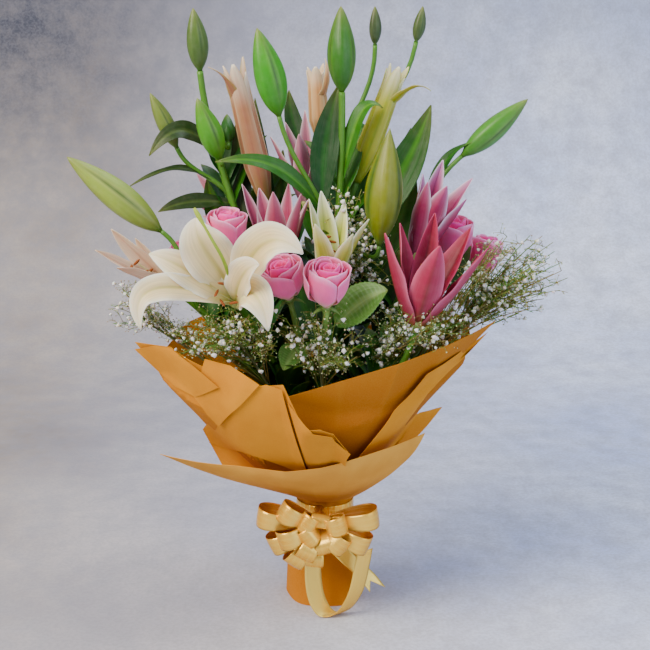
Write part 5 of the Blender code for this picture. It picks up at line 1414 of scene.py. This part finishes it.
def creased(u, v, lines, off):
    """Between crease lines the paper runs straight across, at shares v of its width. Along each
    line it follows a cubic Bezier curve from the waist, at shares u of its way, and it keeps at
    least `off` outside the inner sheet."""
    lines = seen(lines)
    angle = np.arctan2(lines[:, 0, 1], lines[:, 0, 0])
    waist = polar(WAIST_RADIUS + off, angle, WAIST_TOP)
    lines = np.concatenate([waist[:, None], lines], 1)
    spot = (v + 1) / 2 * (len(lines) - 1)
    low = np.minimum((spot + 1e-6).astype(int), len(lines) - 2)
    share = (spot - low)[..., None, None]
    a, b, c, d = np.moveaxis(lines[low] * (1 - share) + lines[low + 1] * share, -2, 0)
    t = u[..., None]
    points = (1 - t)**3 * a + 3 * t * (1 - t)**2 * b + 3 * t**2 * (1 - t) * c + t**3 * d
    angle = np.arctan2(points[..., 1], points[..., 0])
    radius = np.hypot(points[..., 0], points[..., 1])
    least = bowl_radius(angle, np.maximum(points[..., 2], WAIST_TOP))
    grown = np.maximum(radius, least + off + (least - WAIST_RADIUS) * SLACK) / radius
    return points * np.stack([grown, grown, np.ones_like(grown)], -1)


def pictured(points):
    """Where the picture shows points, in mm right of the foot and above it: the reverse of seen."""
    height = points[..., 2] - VIEW_HEIGHT
    distance = VIEW_DISTANCE + points[..., 1] * cos(VIEW_TILT) - height * sin(VIEW_TILT)
    rise = height * cos(VIEW_TILT) + points[..., 1] * sin(VIEW_TILT)
    spot = np.stack([points[..., 0], rise], -1) / distance[..., None] * VIEW_DISTANCE / MM
    return spot + (0, VIEW_MIDDLE)


FLAP_ROWS, FLAP_COLUMNS, NEAR = 17, 9, 2.0      # NEAR in mm
# Corners of paper that are turned over or folded back on a sheet. Each is given by its rails
# from left to right, with points from low to high: mm right of the foot and above it as the
# picture shows them, and how far they stand off.
FLAPS = {
    "wrap_left": [
        [[(-148, 204, 2), (-189, 242, 2)], [(-128, 194, 3), (-169, 246, 3)],
         [(-103, 205, 6), (-151, 244, 4)]],
        [[(-101, 121, 0.6), (-122, 161, 0.6)], [(-80, 116, 0.8), (-112, 174, 0.8)],
         [(-54, 115, 1.0), (-86, 182, 1.0)]],
        [[(-115, 148, 1.6), (-104, 170, 1.4)], [(-78, 139, 2.6), (-80, 202, 1.8)],
         [(-42, 127, 3.2), (-58, 206, 2)], [(-15, 117, 4.5), (-42, 201, 3)]],
        [[(-129, 193, 2.4), (-119, 232, 2.4)], [(-116, 178, 3.4), (-93, 225, 3)],
         [(-103, 167, 5), (-64, 207, 5)]],
        [[(-15, 117, 2), (-36, 188, 2)], [(-4, 118, 4.5), (-12, 159, 4)],
         [(7, 120, 4), (7, 156, 4)], [(17, 123, 7), (30, 141, 7)]],
    ],
    "wrap_right": [
        [[(24, 129, 7), (66, 181, 7), (99, 219, 5)], [(52, 134, 4), (82, 180, 4), (118, 229, 3)],
         [(75, 150, 1.5), (100, 193, 1.5), (162, 259, 1.5)]],
    ],
}
# Painted light: how far the flaps are painted towards the lit paper colour.
FLAP_LIGHT = 0.55


def flap(lines, off, rails, tint):
    """A flap lies on its sheet's own surface: every one of its points takes the mean of the
    surface's points near it in the picture, and stands off along the normal there. Where it
    reaches past the sheet it goes on as the picture shows it."""
    ground = creased(*grid(120, 160), lines, off)
    ground, upright = ground.reshape(-1, 3), normals(ground).reshape(-1, 3)
    shown = pictured(ground)
    rails = np.array(rails, float)
    columns = FLAP_COLUMNS * (len(rails) - 1) + 1
    spots = np.linspace(0, len(rails) - 1, columns)
    heights = np.linspace(0, rails.shape[1] - 1, FLAP_ROWS)
    low = np.minimum(heights.astype(int), rails.shape[1] - 2)
    risen = rails[:, low] + (rails[:, low + 1] - rails[:, low]) * (heights - low)[None, :, None]
    left = np.minimum(spots.astype(int), len(rails) - 2)
    spread = risen[left] + (risen[left + 1] - risen[left]) * (spots - left)[:, None, None]
    spread = spread.transpose(1, 0, 2)
    places = spread[..., :2].reshape(-1, 2)
    gap = ((places[:, None] - shown[None])**2).sum(-1)
    weight = np.exp(-(gap - gap.min(1, keepdims=True)) / (2 * NEAR**2))
    weight /= weight.sum(1, keepdims=True)
    found = weight @ ground
    past = (places - pictured(found)) * MM
    found = found + np.stack([past[:, 0], 0 * past[:, 0], past[:, 1]], -1)
    found = found + unit(weight @ upright) * (spread[..., 2].reshape(-1, 1) * MM)
    return slab(found.reshape(spread.shape), PAPER, tint)


# Rows of a sheet, its columns between two creases, and how far the paper bellies there.
SHEET_ROWS, FACET_COLUMNS, BELLY = 34, 9, 0.35 * MM
SHADED = {"wrap_right": 0.55}       # how much darker a sheet is painted, as painted shade
for number, (name, (off, lines)) in enumerate(OUTER_SHEETS.items()):
    folds = len(lines) - 1
    u, v = grid(SHEET_ROWS, FACET_COLUMNS * folds + 1)
    points = creased(u, v, lines, off * MM)
    within = ((v + 1) / 2 * folds) % 1.0
    wrinkle = (np.sin(7 * u + 5 * v + number) * np.sin(4 * u - 9 * v + 2 * number)
               + 0.6 * np.sin(19 * u + 7 * v))
    relief = BELLY * (np.sin(pi * within) + 0.8 * wrinkle) * np.sin(pi * np.clip(u, 0.02, 1) / 2)
    points = points + normals(points) * relief[..., None]
    # Painted light and shade: a light line beside each crease and paler towards the rim; every
    # sheet but the collar is darker towards the waist, and wrap_right darker all over.
    tint = toward(linear(PAPER_COLOUR), PAPER_LIT,
                  np.exp(-((within - 0.02) / 0.03)**2) * 0.5 + 0.6 * u**4)
    if name == "wrap_collar":
        tint = toward(tint, PAPER_PALE, 0.35 + 0.6 * u)
    else:
        tint = toward(tint, PAPER_SHADE, SHADED.get(name, 0.0) + 0.7 * (1 - u)**1.2)
    parts = [slab(points, PAPER, tint)]
    flap_tint = toward(linear(PAPER_COLOUR), PAPER_LIT, np.array(FLAP_LIGHT))
    parts += [flap(lines, off * MM, rails, flap_tint) for rails in FLAPS.get(name, [])]
    sheet = build("paper_" + name, name, "paper", parts, paper)
    sheet.data.set_sharp_from_angle(angle=CREASE_ANGLE)


# ---------------------------------------------------------------------------------- the ribbon
# Gold florist's ribbon, 20 mm wide: a stiff woven-look plastic film with a pearly sheen. A strap
# round the paper holds a hand-made bow of fifteen loops gathered in a knot, and two tails.

# Pearlised film: a bright soft-edged reflection from flakes under a clear skin, with ribs drawn
# along its length.
satin, tree, shader = material("pearly gold ribbon", roughness=0.26, metallic=0.62,
                               coat_weight=0.10, coat_roughness=0.10)
tint = add(tree, "Attribute", attribute_name="tint")
form = add(tree, "Attribute", attribute_name="form").outputs["Vector"]
ribs = add(tree, "VectorMath", (form, (1.5, 60.0, 0.0)), operation="MULTIPLY")
weave_and_sheen = add(tree, "TexNoise", {"Vector": ribs, "Scale": 1, "Detail": 2})
# Painted sheen: pale yellow streaks along the ribs are mixed into its colour.
gold = add(tree, "Mix", {0: add(tree, "MapRange", (weave_and_sheen, 0.46, 0.58, 0, 0.65)),
                         6: tint, 7: "#FFE06A"}, data_type="RGBA")
relief = add(tree, "Bump", {"Height": weave_and_sheen, "Strength": 0.25, "Distance": 0.0004})
feed(shader, {"Base Color": gold, "Normal": relief})

RIBBON, RIBBON_WIDTH = 0.35 * MM, 20 * MM
# The ribbon's gold, a darker copy of it for painted shade and a paler one for painted highlights.
RIBBON_GOLD, RIBBON_SHADE, RIBBON_HIGHLIGHT = "#F4A80E", "#C86E00", "#FFDC66"
STRAP_RADIUS, STRAP_LOW, STRAP_HIGH = 29.28 * MM, TIE_HEIGHT - 16 * MM, TIE_HEIGHT + 1 * MM
u, v = grid(12, 144, closed=True)
pull = 0.25 * MM * np.sin(22 * u + 3 * np.sin(4 * pi * v)) * np.sin(pi * u)
points = polar(STRAP_RADIUS + pull, pi * v, STRAP_LOW + (STRAP_HIGH - STRAP_LOW) * u)
strap = slab(points, RIBBON, linear(RIBBON_GOLD), wrap=True)
build("ribbon_round_waist", "ribbon_strap", "ribbon", [strap], satin)

# Each loop: the way it points on a clock face, in degrees from the right and upwards, how far it
# lifts off the paper, and its length in mm.
LOOPS = [(8, 10, 60), (14, 50, 37), (152, 30, 48), (150, 60, 33), (172, 8, 62), (197, 34, 48),
         (205, 12, 55), (216, 60, 34), (243, 38, 43), (236, 18, 52), (262, 24, 46), (288, 46, 36),
         (322, 40, 42), (337, 16, 56), (80, 70, 24)]
LOOP_ROOT, BOW_AXIS = 6 * MM, np.array([0.0, -1.0, 0.0])
BOW_CENTRE, KNOT_RADIUS = np.array([-6.0, -57.0, 103.0]) * MM, 9.5 * MM
KNOT_BACK = -30.08 * MM


def bow_loop(angle, lift, length, count=45):
    """A teardrop from the knot out and back, in the plane of its way and the bow's axis, with the
    vector of its half width: the ribbon is pinched at the knot. Its far end is a round roll."""
    angle, lift = radians(angle), radians(lift)
    flat = np.array([cos(angle), 0, sin(angle)])
    way = flat * cos(lift) + BOW_AXIS * sin(lift)
    rise = BOW_AXIS * cos(lift) - flat * sin(lift)
    across = np.cross(way, rise) * RIBBON_WIDTH / 2
    t = np.linspace(0, 1, count)[:, None]
    out = LOOP_ROOT + np.sin(pi * t)**0.75 * (length * MM - LOOP_ROOT)
    swell = np.cos(pi * t) * (1.5 * MM + 0.42 * length * MM * np.sin(pi * t)**0.8)
    return BOW_CENTRE + way * out + rise * swell, across * (0.22 + 0.78 * np.sin(pi * t)**0.4)


def band(line, wides, inside, notch=0.0, columns=9):
    """A flat ribbon along a line. Its middle bows a little, its upper side is gold with painted
    highlights in pale bands along its way, its under side is coloured `inside`, and a notch cuts
    its far end to a swallowtail."""
    rows = len(line)
    v = np.linspace(-1, 1, columns)[None]
    spot = np.linspace(0, rows - 1, rows)[:, None] * (1 - notch * (1 - np.abs(v)))
    low = np.minimum(spot.astype(int), rows - 2)
    share = (spot - low)[..., None]
    middle = line[low] * (1 - share) + line[low + 1] * share
    wide = wides[low] * (1 - share) + wides[low + 1] * share
    points = middle + wide * v[..., None]
    points = points + normals(points) * ((1 - v**2) * 0.5 * MM)[..., None]
    # Painted highlights: pale bands along the ribbon's way.
    shade = np.sin(np.linspace(0, 3 * pi, rows))[:, None]
    upper = toward(linear(RIBBON_GOLD), RIBBON_HIGHLIGHT, 0.38 + 0.30 * shade)
    return slab(points, RIBBON, upper, linear(inside))


# Painted shade: the loops' insides are in the shaded gold.
parts = [band(*bow_loop(*loop), RIBBON_SHADE) for loop in LOOPS]

# The knot: the ribbon crosses over itself in folds, so its ball is grooved like a pumpkin, and a
# short neck holds it to the strap. Both are in the shaded gold, as painted shade.
height = np.linspace(0, pi, 22)
turn = np.linspace(0, tau, 40, endpoint=False)[None]
groove = 1 - 0.10 * np.abs(np.sin(4 * turn))**0.7
ball = np.stack([np.sin(height)[:, None] * np.cos(turn) * groove,
                 np.cos(height)[:, None] * 1.2 * np.ones_like(turn),
                 np.sin(height)[:, None] * np.sin(turn) * groove], -1) * KNOT_RADIUS
parts.append(loft(BOW_CENTRE + ball[1:-1], linear(RIBBON_SHADE)))
neck = np.array([[BOW_CENTRE[0], y, BOW_CENTRE[2]] for y in np.linspace(KNOT_BACK, -50 * MM, 6)])
parts.append(tube(neck, 5.6 * MM, linear(RIBBON_SHADE), sides=16))

# One tail drops from the knot to the floor, turns over there and climbs back. The other falls to
# the right behind it and is cut to a swallowtail. Both in mm.
TAILS = [
    [(-7, -60, 98), (-12, -64, 62), (-10, -64, 28), (-2, -62, 7), (8, -60, 1.2), (20, -62, 8),
     (31, -63, 28), (37, -60, 54), (40, -56, 70)],
    [(-6, -56, 98), (8, -52, 76), (26, -47, 54), (42, -42, 36), (54, -42, 20)],
]
TAIL_WIDE = unit(np.array([0.80, 0.58, 0.0])) * RIBBON_WIDTH / 2
# Painted highlight: the tails' under sides are in the highlight gold.
for tail, notch in zip(TAILS, (0.0, 0.16)):
    line = smooth(np.array(tail) * MM, 48)
    parts.append(band(line, np.tile(TAIL_WIDE, (48, 1)), RIBBON_HIGHLIGHT, notch))
build("ribbon_bow_and_tails", "ribbon_bow", "ribbon", parts, satin)
